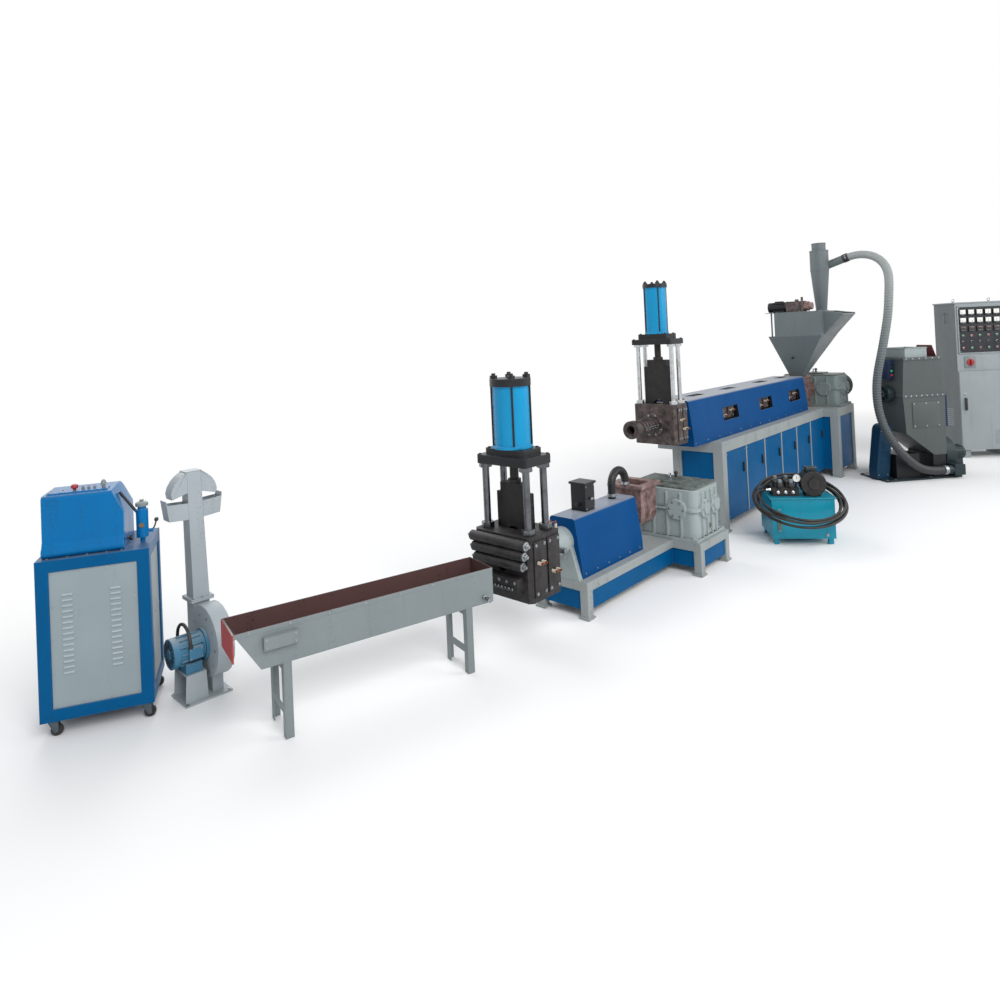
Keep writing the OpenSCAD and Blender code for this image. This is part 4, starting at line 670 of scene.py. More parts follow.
def hydraulic_hose():
    """Turns that lie round each other, from the valve block to the return port on the lid."""
    first, last = COIL_TURNS
    coil = []
    for i in range(COIL_POINTS):
        turn = first + (last - first) * i / (COIL_POINTS - 1)
        a, lie = math.radians(turn), math.radians(72 * turn / 360)
        # The turns spread where they hang free on the front left
        loose = 0.0235 + 0.010 * max(0.0, math.cos(a - math.radians(225)))
        out = COIL_R + loose * math.cos(lie) + 0.004 * math.sin(2.3 * a)
        flat = Vector((out * math.cos(a), out * math.sin(a), loose * math.sin(lie)))
        coil.append(COIL_MID + Matrix.Rotation(COIL_TILT, 3, "X") @ flat)
    line = [station("hydraulic") @ p for p in catmull([*COIL_LEAD, *coil, *COIL_TAIL], 4)]
    piece = round_cord("hydraulic_hose_coil", line, 0.021, "black_rubber")
    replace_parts(piece, "hydraulic_hose")


def arc(mid, radius, turns):
    """Points on an upright arc that runs from front to back."""
    angles = [math.radians(turn) for turn in turns]
    return [mid + radius * Vector((0, math.cos(a), math.sin(a))) for a in angles]


def blower_cable():
    """Motor cable: out of the terminal box, over the motor and down into the stand."""
    x = -0.040
    route = [Vector((x, -0.084, 0.284)), *arc(Vector((x, 0.006, 0.300)), 0.090, range(180, -1, -30)),
             Vector((x, 0.096, 0.258)), *arc(Vector((x, 0.028, 0.216)), 0.068, (0, -30, -60, -80))]
    line = [station("blower") @ p for p in catmull(route, 3)]
    piece = round_cord("blower_motor_cable", line, 0.017, "black_rubber")


# Fittings, station by station, with places and profiles in mm

def eye_bolt(name, where, at):
    """A lifting eye: collar and ring."""
    x, y, z = at
    collar = turned([(16, -1), (16, 6), (9, 8), (9, 16)], at)
    angles = [2 * math.pi * i / 12 for i in range(13)]
    loop = pipe([(x + 17 * math.sin(a), y, z + 30 - 17 * math.cos(a)) for a in angles], 9)
    fit_at(where, name, "bolt_steel", collar, loop)


def heater_terminals(name, where, posts, rise=UP):
    """Ceramic posts with nuts, joined by a copper strap."""
    post = turned([(10, -1), (10, 7), (8, 8), (8, 14), (10, 15), (10, 22)], axis=rise, sides=16)
    fit_at(where, name + "_posts", "ceramic", row_of(post, posts))
    rise = Vector(rise)
    tips = [Vector(p) + 21 * rise for p in posts]
    stud = turned([(4, 0), (4, 10), (7, 10), (7, 15), (4, 15), (4, 19)], axis=rise, sides=8)
    studs = row_of(stud, tips)
    half = Vector([6 if abs(c) < 0.5 else 1.5 for c in rise])
    ends = [tips[0] + 8 * rise, tips[-1] + 8 * rise]
    low = [min(a, b) - h for a, b, h in zip(*ends, half)]
    high = [max(a, b) + h for a, b, h in zip(*ends, half)]
    fit_at(where, name + "_strap", "copper", block(low, high, 1), studs)


def pelletizer_fittings():
    fit, bolts = tools("pelletizer")
    # Row of fittings along the hood's top bar, as far as the red knob and the oil line
    bar_z = 1168
    pin = [(7, 0), (7, 12), (4, 14), (4, 20)]
    fit("hood_bar_pins", "bolt_steel", *(turned(pin, (x, 118, bar_z), sides=12) for x in (196, 222, 248)))
    knob = [(7, 0), (7, 8), (15, 12), (17, 20), (15, 28), (8, 32)]
    fit("hood_knob", "knob_red", turned(knob, (160, 112, bar_z)))
    oiler = [(9, 0), (9, 14), (14, 16), (12, 30), (5, 40)]
    fit("hood_oiler", "machine_grey", turned(oiler, (288, 118, bar_z), sides=16))
    bolts("hood_bar_screws", grid((52, 102), (92, 146), bar_z), UP, 5)
    # Hinge barrels along the hood's foot at the back, grip on its right end
    barrels = [turned([(8, 0), (8, 60)], (x, 356, 868), RIGHT, 14) for x in (70, 290)]
    fit("hood_hinge_barrels", "bolt_steel", *barrels)
    catch = [(6, 0), (6, 10), (13, 13), (14, 22), (10, 27)]
    fit("hood_catch_knob", "knob_black", turned(catch, (384, 130, 892), RIGHT))
    bolts("hood_foot_bolts", grid((46, 132, 218, 304, 372), 36, 860), UP, 6)
    # Oil cup: grey cap, black lever with its ball, sight glass
    cap = [(30, 0), (31, 6), (31, 15), (22, 22), (10, 24), (10, 33)]
    fit("oil_cup_cap", "machine_grey", turned(cap, (454, 150, 1046)))
    rod = pipe([(500, 150, 915), (512, 146, 935), (520, 142, 962)], 8)
    ball = turned([(4, 0), (9, 4), (11, 11), (9, 18), (4, 22)], (519, 142, 958), (0.25, -0.12, 1), 16)
    fit("oil_cup_lever", "knob_black", rod, ball)
    fit("oil_cup_sight", "oil_glass", turned([(13, 0), (13, 5), (10, 6)], (454, 122, 950), FRONT, 18))
    # Screws round the panels
    across, up = (70, 210, 350), (155, 470, 790)
    front = grid((70, 190, 310, 430), 8, (155, 790)) + grid((70, 430), 8, (310, 470, 630))
    bolts("front_panel_screws", front, FRONT, 4)
    bolts("left_panel_screws", grid(8, across, up), LEFT, 4)
    bolts("right_panel_screws", grid(492, across, up), RIGHT, 4)
    bolts("back_panel_screws", grid((70, 250, 430), 412, up), BACK, 4)


def blower_fittings():
    fit, bolts = tools("blower")
    axis_z = 260
    bolts("blower_base_bolts", grid((-70, 150), (-92, 84), 8), UP, 8)
    bolts("blower_flange_bolts", grid((52, 105, 158), (107, 218), 470), UP, 5)
    bolts("volute_rim_bolts", circle_of((60, 0, axis_z), 148, 10, LEFT, 0.3), LEFT, 5)
    # Inlet ring with its guard wires on the far side
    fit("inlet_rim", "blower_grey", turned([(92, 0), (92, 10), (84, 12)], (163, 0, axis_z), RIGHT, 32))
    wires = [pipe([(176, -half, axis_z - w), (177, 0, axis_z - w), (176, half, axis_z - w)], 4)
             for half, w in ((52, 56), (72, 28), (80, 0), (72, -28), (52, -56))]
    fit("inlet_guard", "bolt_steel", *wires)
    # Fan cover of the motor: slots round its end
    end = (-120, 0, axis_z)
    fit("motor_cover_slots", "black_plate", ring_of(block((-3, 34, 0), (3, 66, 3), 1), 16, end, LEFT))
    fit("motor_cover_boss", "motor_blue", turned([(24, -1), (24, 3), (16, 5)], end, LEFT))
    bolts("motor_box_screws", grid((-43, 13), -96, (237, 283)), FRONT, 3.5)
    gland = turned([(13, 0), (13, 6), (10, 8), (10, 15)], (-40, -84, 288), UP, 12)
    fit("motor_cable_gland", "knob_black", gland)


def trough_fittings():
    fit, bolts = tools("trough")
    tap = [(14, 0), (14, 10), (10, 12), (10, 40), (13, 42), (13, 60)]
    fit("drain_tap", "bolt_steel", turned(tap, (-60, -120, 392), FRONT, 16))
    bolts("trough_rim_bolts", grid(range(-1330, 0, 190), -122, 536), FRONT, 5)
    bolts("overflow_box_screws", grid((-1258, -1122), -148, (458, 494)), FRONT, 4)


def gearbox_fittings(name, where, x, y, z, split):
    """Bolts of the caps, foot, split and lid, with eye bolt, breather and oil sight."""
    fit, bolts = tools(where)
    inner_x, length = x[0] + 18, x[1] - x[0] - 36
    inner_y, wide = y[0] + 18, y[1] - y[0] - 36
    mid_x, mid_y, top = (x[0] + x[1]) / 2, (y[0] + y[1]) / 2, z[1] + 34
    caps = [p for k in (0.3, 0.7)
            for p in circle_of((inner_x + k * length, y[0] - 8, split), length * 0.14, 6, FRONT)]
    bolts(name + "_cap_bolts", caps, FRONT, 6)
    boss = circle_of((x[0] - 8, inner_y + wide * 0.25, split), wide * 0.1, 6, LEFT, 0.5)
    bolts(name + "_boss_bolts", boss, LEFT, 7)
    between = [inner_x + 60 + (length - 120) * k for k in (-0.12, 0.25, 0.5, 0.75, 1.12)]
    beside = [inner_y + 60 + (wide - 120) * k for k in (-0.05, 0.25, 0.5, 0.75, 1.05)]
    foot = grid(between, y[0] + 9, z[0] + 26) + grid(x[0] + 9, beside, z[0] + 26)
    bolts(name + "_foot_bolts", foot, UP, 6.5)
    joint = split + 13
    rim = [(mid_x, y[0] + 10, joint)] + grid(x[0] + 10, beside[2:4], joint)
    rim += grid(between[1:4], y[1] - 10, joint) + grid(x[1] - 10, beside[1:4], joint)
    bolts(name + "_split_bolts", rim, UP, 6.5)
    lid = grid((inner_x + 40, mid_x, inner_x + length - 40), (inner_y + 38, inner_y + wide - 38), z[1] + 17)
    bolts(name + "_lid_bolts", lid, UP, 6.5)
    eye_bolt(name + "_eye_bolt", where, (mid_x - 40, mid_y, top))
    breather = [(13, -1), (13, 10), (9, 12), (9, 22), (17, 24), (17, 40), (10, 47)]
    fit(name + "_breather", "knob_black", turned(breather, (mid_x + 60, mid_y, top)))
    sight = (mid_x, inner_y, z[0] + 85)
    fit(name + "_sight_rim", "bolt_steel", turned([(22, -2), (22, 9), (17, 11)], sight, FRONT))
    fit(name + "_sight_oil", "oil_glass", turned([(15, 8), (14, 13)], sight, FRONT))


def screen_changer_fittings(name, where, x, half, z, crown, press, press_r, iron_finish):
    """Heater plates and terminals on the block, screws on the crown, ports, pipe and rods on the cylinder."""
    fit, bolts = tools(where)
    front, wide = -half[1], half[0] - 30
    face, mid_z, edge = front - 10, (z[0] + z[1]) / 2, x + half[0] - 15
    plates = [block((x + a, face, z[0] + 30), (x + a + wide - 8, front, z[1] - 26), 2) for a in (-wide, 8)]
    fit(name + "_heater_plates", iron_finish, *plates)
    spots = grid([x + a + b for a in (-wide, 8) for b in (18, wide - 26)], face, (z[0] + 52, z[1] - 48))
    bolts(name + "_heater_plate_bolts", spots, FRONT, 8)
    for tag, posts, rise in (
        ("front", grid((x - wide + 30, x - wide + 70), face, mid_z + 40), FRONT),
        ("side", grid((x + wide - 78, x + wide - 38), face, mid_z - 40), FRONT),
        ("top", grid(edge, (front + 26, front + 66, front + 106), z[1]), UP),
        ("back", grid(edge, (-front - 106, -front - 66, -front - 26), z[1]), UP),
    ):
        heater_terminals(f"{name}_{tag}_terminals", where, posts, rise)
    for tag, (a, b, c), size in (("crown_foot_bolts", crown[0], 9), ("crown_screws", crown[1], 10)):
        bolts(f"{name}_{tag}", grid((x - a, x + a), (-b, b), c), UP, size, "black_plate")
    # Ports on the far side of the cylinder, with their pipe
    seat, shell = crown[1][2], x + press_r
    low, high = seat + 52, press - 46
    for level, tag in ((low, "low"), (high, "high")):
        port = block((shell - 10, -22, level - 22), (shell + 24, 22, level + 22), 4)
        nut = turned([(15, -1), (15, 16), (12, 18)], (shell + 24, 0, level), RIGHT, 6)
        fit(f"{name}_{tag}_port", "bright_blue", port, nut)
    line = [(shell + 40, 0, high), (shell + 56, 0, high - 14), (shell + 62, 0, high - 44),
            (shell + 62, 0, low + 78), (shell + 56, 0, low + 22), (shell + 40, 0, low)]
    fit(name + "_press_pipe", "steel", pipe(line, 12))
    # Four tie rods between the cylinder's flange and its cap
    thick, tall = press_r * 0.055, press - seat - 16
    rod = turned([(thick - 1, 0), (thick, 1), (thick, tall - 1), (thick - 1, tall)], sides=16)
    around = circle_of((x, 0, seat + 17), press_r + thick + 0.4, 4, UP, math.pi / 4)
    fit(name + "_press_tie_rods", "black_plate", row_of(rod, around))


def second_fittings():
    fit, bolts = tools("second")
    screen_changer_fittings("second", "second", -420, (150, 225), (285, 665),
                            ((108, 182, 1120), (75, 130, 1160)), 1540, 112.5, "dark_iron")
    gearbox_fittings("second_gearbox", "second", (1130, 1590), (-420, 200), (240, 620), 475)
    nozzle = turned([(9, 0), (9, 8), (6, 12), (6, 18)], axis=LEFT, sides=14)
    fit("strand_nozzles", "oiled_steel", row_of(nozzle, grid(-630, range(-135, 136, 27), 376)))
    bolts("strand_plate_bolts", grid(-630, range(-150, 151, 60), 415), LEFT, 8)
    cap = [(26, -1), (26, 6), (14, 8), (14, 20), (9, 22), (9, 30)]
    caps = [turned(cap, (-594.8, side * (215 - 14 * k), 629 - 62 * k), (0, side, 0), 18)
            for k in range(3) for side in (-1, 1)]
    fit("heater_pipe_caps", "bolt_steel", *caps)
    bolts("barrel_flange_bolts", circle_of((-194, 0, 475), 100, 8, RIGHT, 0.39), RIGHT, 8)
    lugs = [block((-138, -124 - k, 452), (-112, -98, 462 + k), 2) for k in (0, 22)]
    fit("barrel_band_lugs", "bolt_steel", *lugs)
    bolts("second_cover_screws", grid(range(80, 800, 135), -150, 268), FRONT, 5)
    bolts("second_cover_back_screws", grid(range(80, 800, 135), 150, 268), BACK, 5)
    bolts("throat_bolts", grid((836, 960, 1084), (-136, 136), 690), UP, 8)
    # Terminal box: lid screws, gland and handle; clamps and ribs of the conduit
    bolts("terminal_box_screws", grid((242, 333), -62, (640, 792)), FRONT, 4)
    gland = turned([(16, -1), (16, 8), (12, 10), (12, 26)], (230, 0, 668), LEFT, 12)
    fit("terminal_gland", "knob_black", gland)
    fit("terminal_handle", "bolt_steel", block((270, -84, 700), (306, -62, 716), 4))
    clamp = [(29, 0), (33, 1), (33, 21), (29, 22)]
    clamps = [turned(clamp, (x, 0, z), sides=28) for x, z in ((650, 640), (837, 694))]
    fit("conduit_clamps", "bolt_steel", *clamps)
    bend_r, ribs = 93.5, []
    for i in range(19):
        a = math.radians(9 * i + 9)
        at = (743.5 - bend_r * math.cos(a), 0, 720 + bend_r * math.sin(a))
        ribs.append(turned([(28, -3), (30, -2), (30, 2), (28, 3)], at, (math.sin(a), 0, math.cos(a)), 20))
    fit("conduit_ribs", "black_rubber", *ribs)


def main_fittings():
    fit, bolts = tools("main")
    axis_z = 1030
    screen_changer_fittings("main", "main", -490, (110, 200), (860, 1200),
                            ((100, 172, 1760), (72, 118, 1805)), 2205, 91, "brown_iron")
    gearbox_fittings("main_gearbox", "main", (3000, 3460), (-460, 240), (810, 1180), axis_z)
    # Heater bands on the long nozzle
    bands = range(-660, -845, -46)
    band = [(59, 0), (66, 1), (66, 33), (59, 34)]
    fit("nozzle_heater_bands", "brown_iron", *(turned(band, (x, 0, axis_z), LEFT, 32) for x in bands))
    lugs = [block((x - 30, -80, 1018 + s), (x - 4, -60, 1024 + s), 1.5) for x in bands for s in (0, 16)]
    fit("nozzle_band_lugs", "bolt_steel", *lugs)
    bolts("nozzle_flange_bolts", circle_of((-640, 0, axis_z), 84, 8, LEFT, 0.39), LEFT, 8)
    # Cover: skirt screws, then posts and strap in each window and a grille in each slot on top
    bolts("main_cover_screws", grid(range(-300, 2590, 240), -222, 838), FRONT, 6)
    bolts("main_cover_back_screws", grid(range(-300, 2590, 240), 222, 838), BACK, 6)
    face = -168
    for k, x in enumerate((487.6, 1363.6, 2210.4)):
        band = block((x - 150, face, 966), (x + 150, -150, 1074), 4)
        split = block((x - 8, -182, 970), (x + 8, -160, 1070), 2)
        fit(f"window_{k}_heater_band", "brown_iron", band, split)
        heater_terminals(f"window_{k}_left", "main", grid((x - 110, x - 60), face, 1000), FRONT)
        heater_terminals(f"window_{k}_right", "main", grid((x + 50, x + 100), face, 1036), FRONT)
        bolts(f"window_{k}_bolts", grid((x - 134, x + 134), face, (980, 1060)), FRONT, 6)
    for k, x in enumerate((166.4, 896.4, 1743.2, 2385.6)):
        bolts(f"slot_{k}_bolts", grid((x - 110, x + 110), (-30, 30), 1195), UP, 6)
        bars = [block((x - 90 + 24 * i, -38, 1194), (x - 80 + 24 * i, 38, 1204), 1.5) for i in range(8)]
        fit(f"slot_{k}_grille", "black_plate", *bars)
    # Lower doors: pale posts over the joints, their pale colour a painted highlight along each seam, black
    # pulls, screws
    doors = range(90, 2366, 455)
    posts = [block((x - 9, -315, 92), (x + 9, -307, 708), 2) for x in doors[1:]]
    fit("door_joint_posts", "platform_grey", *posts)
    fit("door_pulls", "knob_black", *(block((x + 372, -326, 470), (x + 390, -307, 560), 5) for x in doors))
    bolts("door_screws", grid([x + a for x in doors for a in (40, 415)], -308, (120, 680)), FRONT, 4)
    # Hopper: rivets at the waist, rolled lip on the scoop, knob of the gate
    rivet = turned([(9, -1), (8, 2), (5, 4)], axis=LEFT, sides=12)
    fit("hopper_left_rivets", "hopper_grey", row_of(rivet, grid(2545, range(-400, 90, 80), 1708)))
    fit("scoop_lip_roll", "machine_grey", pipe(grid((2650, 2900, 3150), -633, 1924), 14))
    rolls = [pipe([(x, -635, 1932), (x, -530, 1954), (x, -426, 1972)], 8) for x in (2650, 3150)]
    fit("scoop_cheek_rolls", "machine_grey", *rolls)
    knob = turned([(8, -4), (8, 14), (17, 17), (18, 26), (12, 32)], (2664, -56, 1440), (-0.9, 0, -0.42))
    fit("gate_knob", "knob_black", knob)
    lid = grid(2557, (-410, -300, -190, 70, 150), 1976) + grid((2640, 2760, 2880), -413, 1976)
    bolts("hopper_lid_bolts", lid, UP, 6)
    bolts("hopper_neck_bolts", grid((2732, 2968), (-130, -40, 50), 1190), UP, 8)
    # Feeder drive: motor fins, flange and housing bolts
    x, y, z = 2660, -120, 2040
    fin = block((-2, 52, 0), (2, 62, 150), 0.8)
    fit("feeder_motor_fins", "black_plate", ring_of(fin, 16, (x, y + 125, z), BACK))
    bolts("feeder_flange_bolts", circle_of((x, y - 150, z), 49, 6, FRONT), FRONT, 5)
    bolts("feeder_housing_bolts", grid((x - 60, x + 60), (y - 85, y + 82), 2102), UP, 6)
    # Cyclone: seam rings, foot bolts and the clamp on its inlet
    at = (3045, -290)
    rings = [turned([(104, 0), (108, 1), (108, 11), (104, 12)], (*at, h), sides=48) for h in (2470, 2704)]
    rings.append(turned([(78, 0), (82, 1), (82, 9), (78, 10)], (*at, 2796), sides=40))
    fit("cyclone_seam_rings", "hopper_grey", *rings)
    bolts("cyclone_foot_bolts", circle_of((*at, 1982), 69, 6, UP), UP, 5)
    x, y, z = 3102.5, -580, 2601
    clamp = turned([(48, -36), (52, -34), (52, 24), (48, 26)], (x, y, z), (0, -0.951, 0.3085), 32)
    fit("inlet_clamp", "knob_black", clamp)
    screw = turned([(6, -16), (6, 16), (9, 17), (9, 24)], (x - 54, y, z), (0, 0.3085, 0.951), 10)
    fit("inlet_clamp_screw", "bolt_steel", screw)
    bolts("pulley_hub_bolts", circle_of((3600, -300, axis_z), 74, 6, RIGHT), RIGHT, 8)


def hydraulic_fittings():
    fit, bolts = tools("hydraulic")
    lid_z = 390
    # Motor: fins, fan grille, terminal box
    fin = block((-2.5, 90, 0), (2.5, 102, 110), 1)
    fit("pump_motor_fins", "dark_green", ring_of(fin, 22, (350, 54, 499), BACK))
    slot = block((-4, 50, 0), (4, 88, 3), 1)
    fit("pump_motor_grille", "black_plate", ring_of(slot, 18, (350, 20, 499), FRONT))
    box = block((306, 66, 586), (394, 150, 628), 5)
    gland = turned([(13, -1), (13, 8), (9, 10), (9, 22)], (306, 108, 604), LEFT, 12)
    fit("pump_terminal_box", "dark_green", box, gland)
    bolts("pump_terminal_screws", grid((314, 386), (74, 142), 628), UP, 4)
    # Valves: solenoids front and back, with their plugs
    coil = [(21, -1), (22, 3), (22, 44), (14, 46), (14, 52), (8, 54)]
    for k, x in enumerate((85, 175)):
        coils = [turned(coil, (x, y, 487), axis, 20) for y, axis in ((75, FRONT), (185, BACK))]
        fit(f"valve_{k}_solenoids", "knob_black", *coils)
        plugs = [block((x - 13, y - 13, 503), (x + 13, y + 13, 534)) for y in (50, 210)]
        fit(f"valve_{k}_plugs", "machine_grey", *plugs)
        bolts(f"valve_{k}_bolts", grid((x - 26, x + 26), (84, 176), 510), UP, 4)
    # Hose ends on the block and the lid
    for tag, at, axis in (("valve", (30, 130, 430), LEFT), ("return", (399, 338, lid_z), UP)):
        fit(f"{tag}_hose_nut", "steel", turned([(17, -2), (17, 14), (13, 16)], at, axis, 6))
        fit(f"{tag}_hose_ferrule", "steel", turned([(13, 14), (13, 40), (11.5, 42)], at, axis, 20))
    port = [(14, -2), (14, 12), (9, 14), (9, 24)]
    fit("valve_block_ports", "steel", *(turned(port, (x, 60, 425), FRONT, 6) for x in (70, 130, 190)))
    # Gauge, filler, lid bolts, level glass
    gauge = (225, 62, 540)
    fit("gauge_rim", "steel", turned([(33, -1), (33, 4), (29, 5), (29, 1)], gauge, FRONT, 32))
    fit("gauge_card", "meter_card", turned([(28.5, 0), (28.5, 2)], gauge, FRONT, 32))
    fit("gauge_needle", "knob_black", block((223.6, 58.5, 534), (226.4, 59.8, 561), 0.4))
    filler = [(26, -1), (26, 14), (36, 16), (36, 36), (27, 42)]
    fit("filler_cap", "knob_black", turned(filler, (50, 352, lid_z)))
    edge = grid((0, 166, 333, 500), (-4, 404), lid_z) + grid((-4, 504), (130, 265), lid_z)
    bolts("tank_lid_bolts", edge, UP, 5)
    fit("level_glass", "oil_glass", block((47, -12, 128), (68, -7, 282), 2))
    bolts("level_glass_bolts", grid(57.5, -8, (118, 292)), FRONT, 6)
    fit("tank_drain_plug", "bolt_steel", turned([(14, -1), (14, 10), (11, 12)], (430, 0, 82), FRONT, 6))


def crusher_fittings():
    fit, bolts = tools("crusher")
    bolts("crusher_waist_bolts", grid(range(-230, 260, 66), -220, 952), FRONT, 8)
    bolts("crusher_waist_back_bolts", grid(range(-230, 260, 66), 220, 952), BACK, 8)
    bolts("crusher_top_bolts", grid(range(-205, 230, 82), -222, 1375), FRONT, 7)
    bolts("crusher_anchor_bolts", grid((-500, -400, 40, 400), (-208, 208), 20), UP, 11)
    # Access plate on the chamber's front
    fit("chamber_plate", "crusher_grey", block((-150, -218, 590), (190, -209, 880)))
    bolts("chamber_plate_bolts", grid((-132, 20, 172), -218, (608, 862)), FRONT, 8)
    # Control box: face plate, buttons, switch
    fit("control_face", "navy", block((-312, -64, 1150), (-236, -59, 1360), 2))
    button = [(15, -1), (15, 5), (11, 6), (11, 14), (8, 16)]
    for tag, z, finish in (("stop", 1190, "knob_red"), ("start", 1240, "lamp_green")):
        fit(f"crusher_{tag}_button", finish, turned(button, (-274, -64, z), FRONT, 20))
    switch = turned([(16, -1), (16, 6), (6, 8), (6, 20)], (-274, -64, 1286), FRONT, 20)
    fit("crusher_switch", "knob_black", switch)
    # Guard: pressed vents and screws
    vents = [block((-492 + 4 * k, -116, 190 + 44 * k), (-428 + 4 * k, -109, 206 + 44 * k)) for k in range(6)]
    fit("belt_guard_vents", "guard_blue", *vents)
    bolts("belt_guard_screws", [(-530, -110, 60), (-420, -110, 60), (-470, -110, 560)], FRONT, 6)
    # Flywheel: spokes and hub bolts
    spoke = block((-9, 30, 0), (9, 78, 16))
    fit("flywheel_spokes", "dark_green", ring_of(spoke, 6, (-325, 0, 970), LEFT))
    bolts("flywheel_hub_bolts", circle_of((-356, 0, 970), 24, 5, LEFT), LEFT, 5)
    # Feed hopper: folded rim; conveying fan: rim bolts, fins and spout clamp
    rim = [block(a, b, 2) for a, b in (
        ((-188, -183, 1492), (103, -171, 1502)), ((-188, 171, 1492), (103, 183, 1502)),
        ((-188, -183, 1492), (-176, 183, 1502)), ((91, -183, 1492), (103, 183, 1502)))]
    fit("feed_hopper_rim", "pale_grey", *rim)
    bolts("fan_casing_bolts", circle_of((270, 0, 240), 172, 12, LEFT), LEFT, 5)
    bolts("fan_casing_back_bolts", circle_of((400, 0, 240), 172, 12, RIGHT), RIGHT, 5)
    fin = block((-2, 84, 0), (2, 93, 140), 0.8)
    fit("fan_motor_fins", "dark_green", ring_of(fin, 20, (448, 0, 240), RIGHT))
    clamp = turned([(48, -22), (52, -20), (52, 20), (48, 22)], (182, -255, 100), LEFT, 32)
    fit("spout_clamp", "bolt_steel", clamp)


def cabinet_fittings():
    fit, bolts = tools("cabinet")
    face, columns = -8, [85 + 106 * k for k in range(6)]
    # Meters: frame, card, boss and needle
    meters = [(x, face, z) for z in (1880, 1775) for x in columns]
    fit("meter_frames", "knob_black", row_of(block((-41, -16, -41), (41, 2, 41), 4), meters))
    fit("meter_cards", "meter_card", row_of(block((-34, -19, -20), (34, -15, 34), 1.5), meters))
    boss = turned([(9, 14), (9, 20), (6, 22)], (0, 0, -28), FRONT, 16)
    fit("meter_bosses", "machine_grey", row_of(boss, meters))
    needles = []
    for k, (x, y, z) in enumerate(meters):
        needle = block((-1.2, -20.5, 0), (1.2, -19, 44), 0.4)
        lean = Matrix.Rotation(math.radians(17 * (k * 5 % 6) - 44), 4, "Y")
        needle.data.transform(shift((x, y, z - 16)) @ lean)
        needles.append(needle)
    fit("meter_needles", "knob_red", *needles)
    # Temperature controllers, lamps, selectors and buttons in rows below
    boxes = grid(columns, face, 1668)
    fit("controller_frames", "knob_black", row_of(block((-36, -15, -36), (36, 2, 36)), boxes))
    fit("controller_windows", "display", row_of(block((-26, -17, 2), (26, -14, 26), 1), boxes))
    keys = grid([x + a for x in columns for a in (-18, 0, 18)], face, 1648)
    fit("controller_keys", "machine_grey", row_of(block((-5, -18, -5), (5, -14, 5), 1.5), keys))
    lamp_z, selector_z, button_z = rows = (1580, 1500, 1420)
    rim = turned([(15, -1), (15, 5), (12, 7)], axis=FRONT, sides=20)
    fit("switch_rims", "bolt_steel", row_of(rim, [(x, face, z) for z in rows for x in columns]))

    def lights(name, finish, profile, across, z):
        fit(name, finish, row_of(turned(profile, axis=FRONT, sides=18), grid(across, face, z)))

    lens, push = [(11, 4), (11, 12), (8, 17), (3, 18)], [(10, 4), (10, 14), (8, 16)]
    lights("green_lamps", "lamp_green", lens, columns[0::2], lamp_z)
    lights("red_lamps", "lamp_red", lens, columns[1::2], lamp_z)
    dial = turned([(12, 4), (12, 14), (10, 16)], axis=FRONT, sides=18)
    knob = gather([dial, block((-3.5, -26, -12), (3.5, -14, 12), 2)])
    fit("selector_knobs", "knob_black", row_of(knob, grid(columns, face, selector_z)))
    lights("stop_buttons", "knob_red", push, columns[0::2], button_z)
    lights("run_buttons", "lamp_green", push, columns[1::2], button_z)
    # Frame strips round the panel and a switch plate below it
    strips = [block(a, b, 2) for a, b in (
        ((22, -14, 1346), (678, 0, 1360)), ((22, -14, 1950), (678, 0, 1964)),
        ((22, -14, 1346), (36, 0, 1964)), ((664, -14, 1346), (678, 0, 1964)))]
    fit("panel_frame_strips", "cabinet_grey", *strips)
    fit("isolator_plate", "machine_grey", block((90, -9, 1160), (230, 0, 1310)))
    dial = turned([(46, -1), (46, 10), (40, 12)], (160, -9, 1235), FRONT, 28)
    fit("isolator_handle", "knob_red", dial, block((152, -46, 1196), (168, -18, 1274), 5))
    bolts("panel_corner_screws", grid((48, 652), face, (1374, 1655, 1936)), FRONT, 4)
    # Lower door: handle, lock, pressed vents; vents on the side, eyes on top
    fit("door_handle", "knob_black", block((52, -58, 620), (74, -24, 780), 8), body="door")
    lock = turned([(13, -1), (13, 5), (9, 7)], (63, -25, 830), FRONT, 18)
    fit("door_lock", "bolt_steel", lock, body="door")
    vents = [block((420, -30, 180 + 26 * k), (620, -24, 194 + 26 * k)) for k in range(7)]
    fit("door_vents", "cabinet_grey", *vents, body="door")
    vents = [block((-5, 120, 400 + 26 * k), (1, 330, 414 + 26 * k), 2.5) for k in range(9)]
    fit("side_vents", "cabinet_grey", *vents)
    for k, x in enumerate((120, 580)):
        eye_bolt(f"cabinet_eye_{k}", "cabinet", (x, 225, 2016))


photo_camera()
studio()
conveying_hose()
hydraulic_hose()
blower_cable()

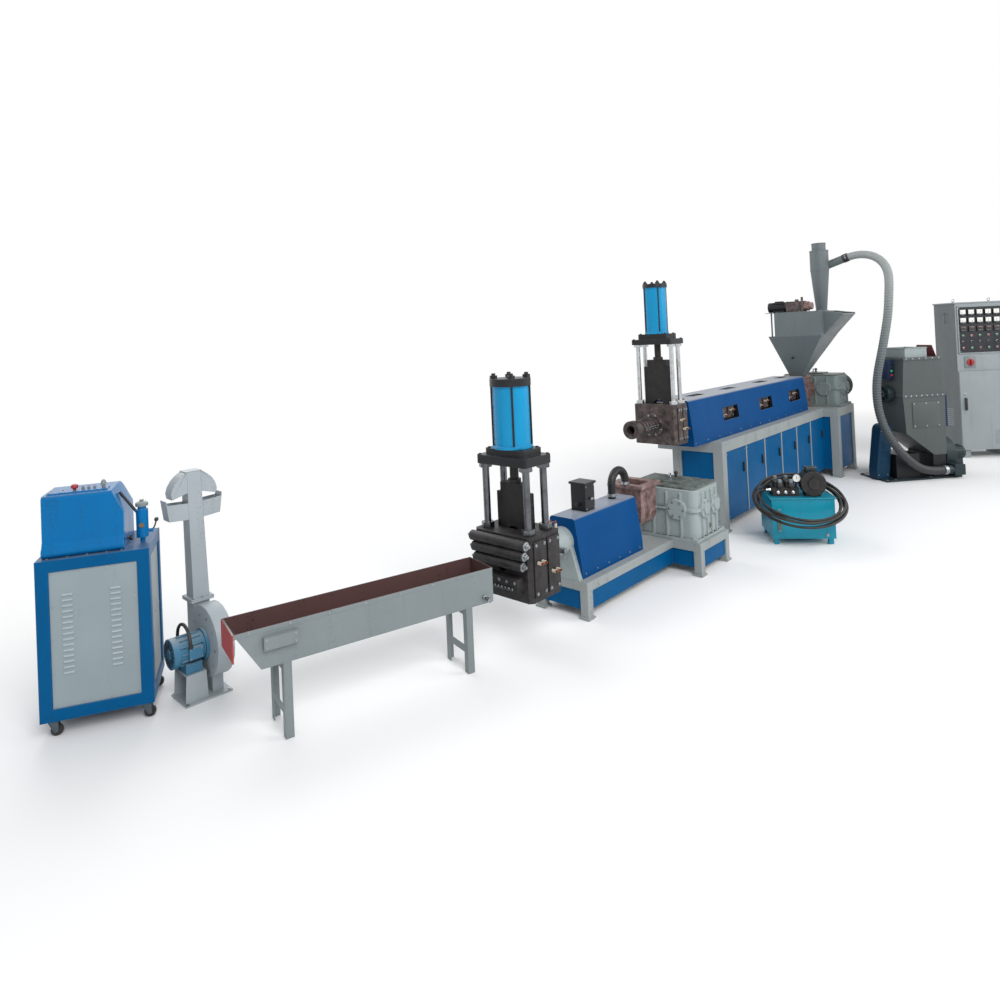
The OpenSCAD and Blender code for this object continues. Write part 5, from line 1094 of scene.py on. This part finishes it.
# Solids with eased edges (m), each in its finish: sheet stays sharp, frames and castings are rounder
EASE = {name: width for names, width in (
    ("water_trough trough_legs pelletizer_panels second_panels main_panels main_hopper cyclone "
     "blower_base blower_duct pellet_outlet_head crusher_hopper", 0.0007),
    ("second_frame main_frame", 0.003),
    ("pelletizer_frame second_gearbox main_gearbox", 0.004),
) for name in names.split()}
made = {name: eased(name, EASE.get(name, 0.0018)) for name in frame["nodes"]
        if name not in ("conveying_hose", "hydraulic_hose")}

# Second coats: caps, liners, lids and flaps in their own finish; painted shade on the cabinet's sides and in
# the cover's windows and top slots, painted highlight on the louvres' upper faces
for node, where, finish, chosen in (
    ("second_cylinder", "second", "black_plate", lambda x, y, z, n: z > 1541),
    ("main_cylinder", "main", "black_plate", lambda x, y, z, n: z > 2206),
    ("water_trough", "trough", "red_oxide",
     lambda x, y, z, n: abs(y) < 117 and z > 359 and n.z > -0.1 and -1397 < x < -3),
    ("water_trough", "trough", "lip_red", lambda x, y, z, n: x < -1399),
    ("second_gearbox", "second", "lid_iron", lambda x, y, z, n: z > 621),
    ("main_gearbox", "main", "lid_iron", lambda x, y, z, n: z > 1181),
    ("hopper_feeder_drive", "main", "brown_iron", lambda x, y, z, n: -226 < y < -16),
    ("hopper_feeder_drive", "main", "throat_iron", lambda x, y, z, n: y < -226),
    ("crusher_hopper", "crusher", "flap_red", lambda x, y, z, n: x > 205),
    ("crusher_body", "crusher", "navy", lambda x, y, z, n: x > 309 or (x < -260 and z > 1139)),
    # Painted shade on the cabinet's left and right sides
    ("cabinet_body", "cabinet", "cabinet_side_painted_shade",
     lambda x, y, z, n: abs(n.x) > 0.9 and 80 < z < 2000 and not 20 < x < 680),
    # Painted highlight on the upward faces of the louvres on the front panel
    ("pelletizer_panels", "pelletizer", "louvre_painted_highlight", lambda x, y, z, n: y < 7.5 and n.z > 0.05),
    ("pelletizer_oil_cup", "pelletizer", "black_rubber", lambda x, y, z, n: x < 424),
    ("crusher_base", "crusher", "black_plate", lambda x, y, z, n: z > 21),
    # Painted shade: the recesses of the cover's windows and top slots are coloured black
    ("main_barrel_cover", "main", "black_plate",
     lambda x, y, z, n: (-200 < y < -150 and 955 < z < 1085) or (1190 < z < 1209 and abs(y) < 46)),
):
    second_coat(made[node], where, finish, chosen)

pelletizer_fittings()
blower_fittings()
trough_fittings()
second_fittings()
main_fittings()
hydraulic_fittings()
crusher_fittings()
cabinet_fittings()
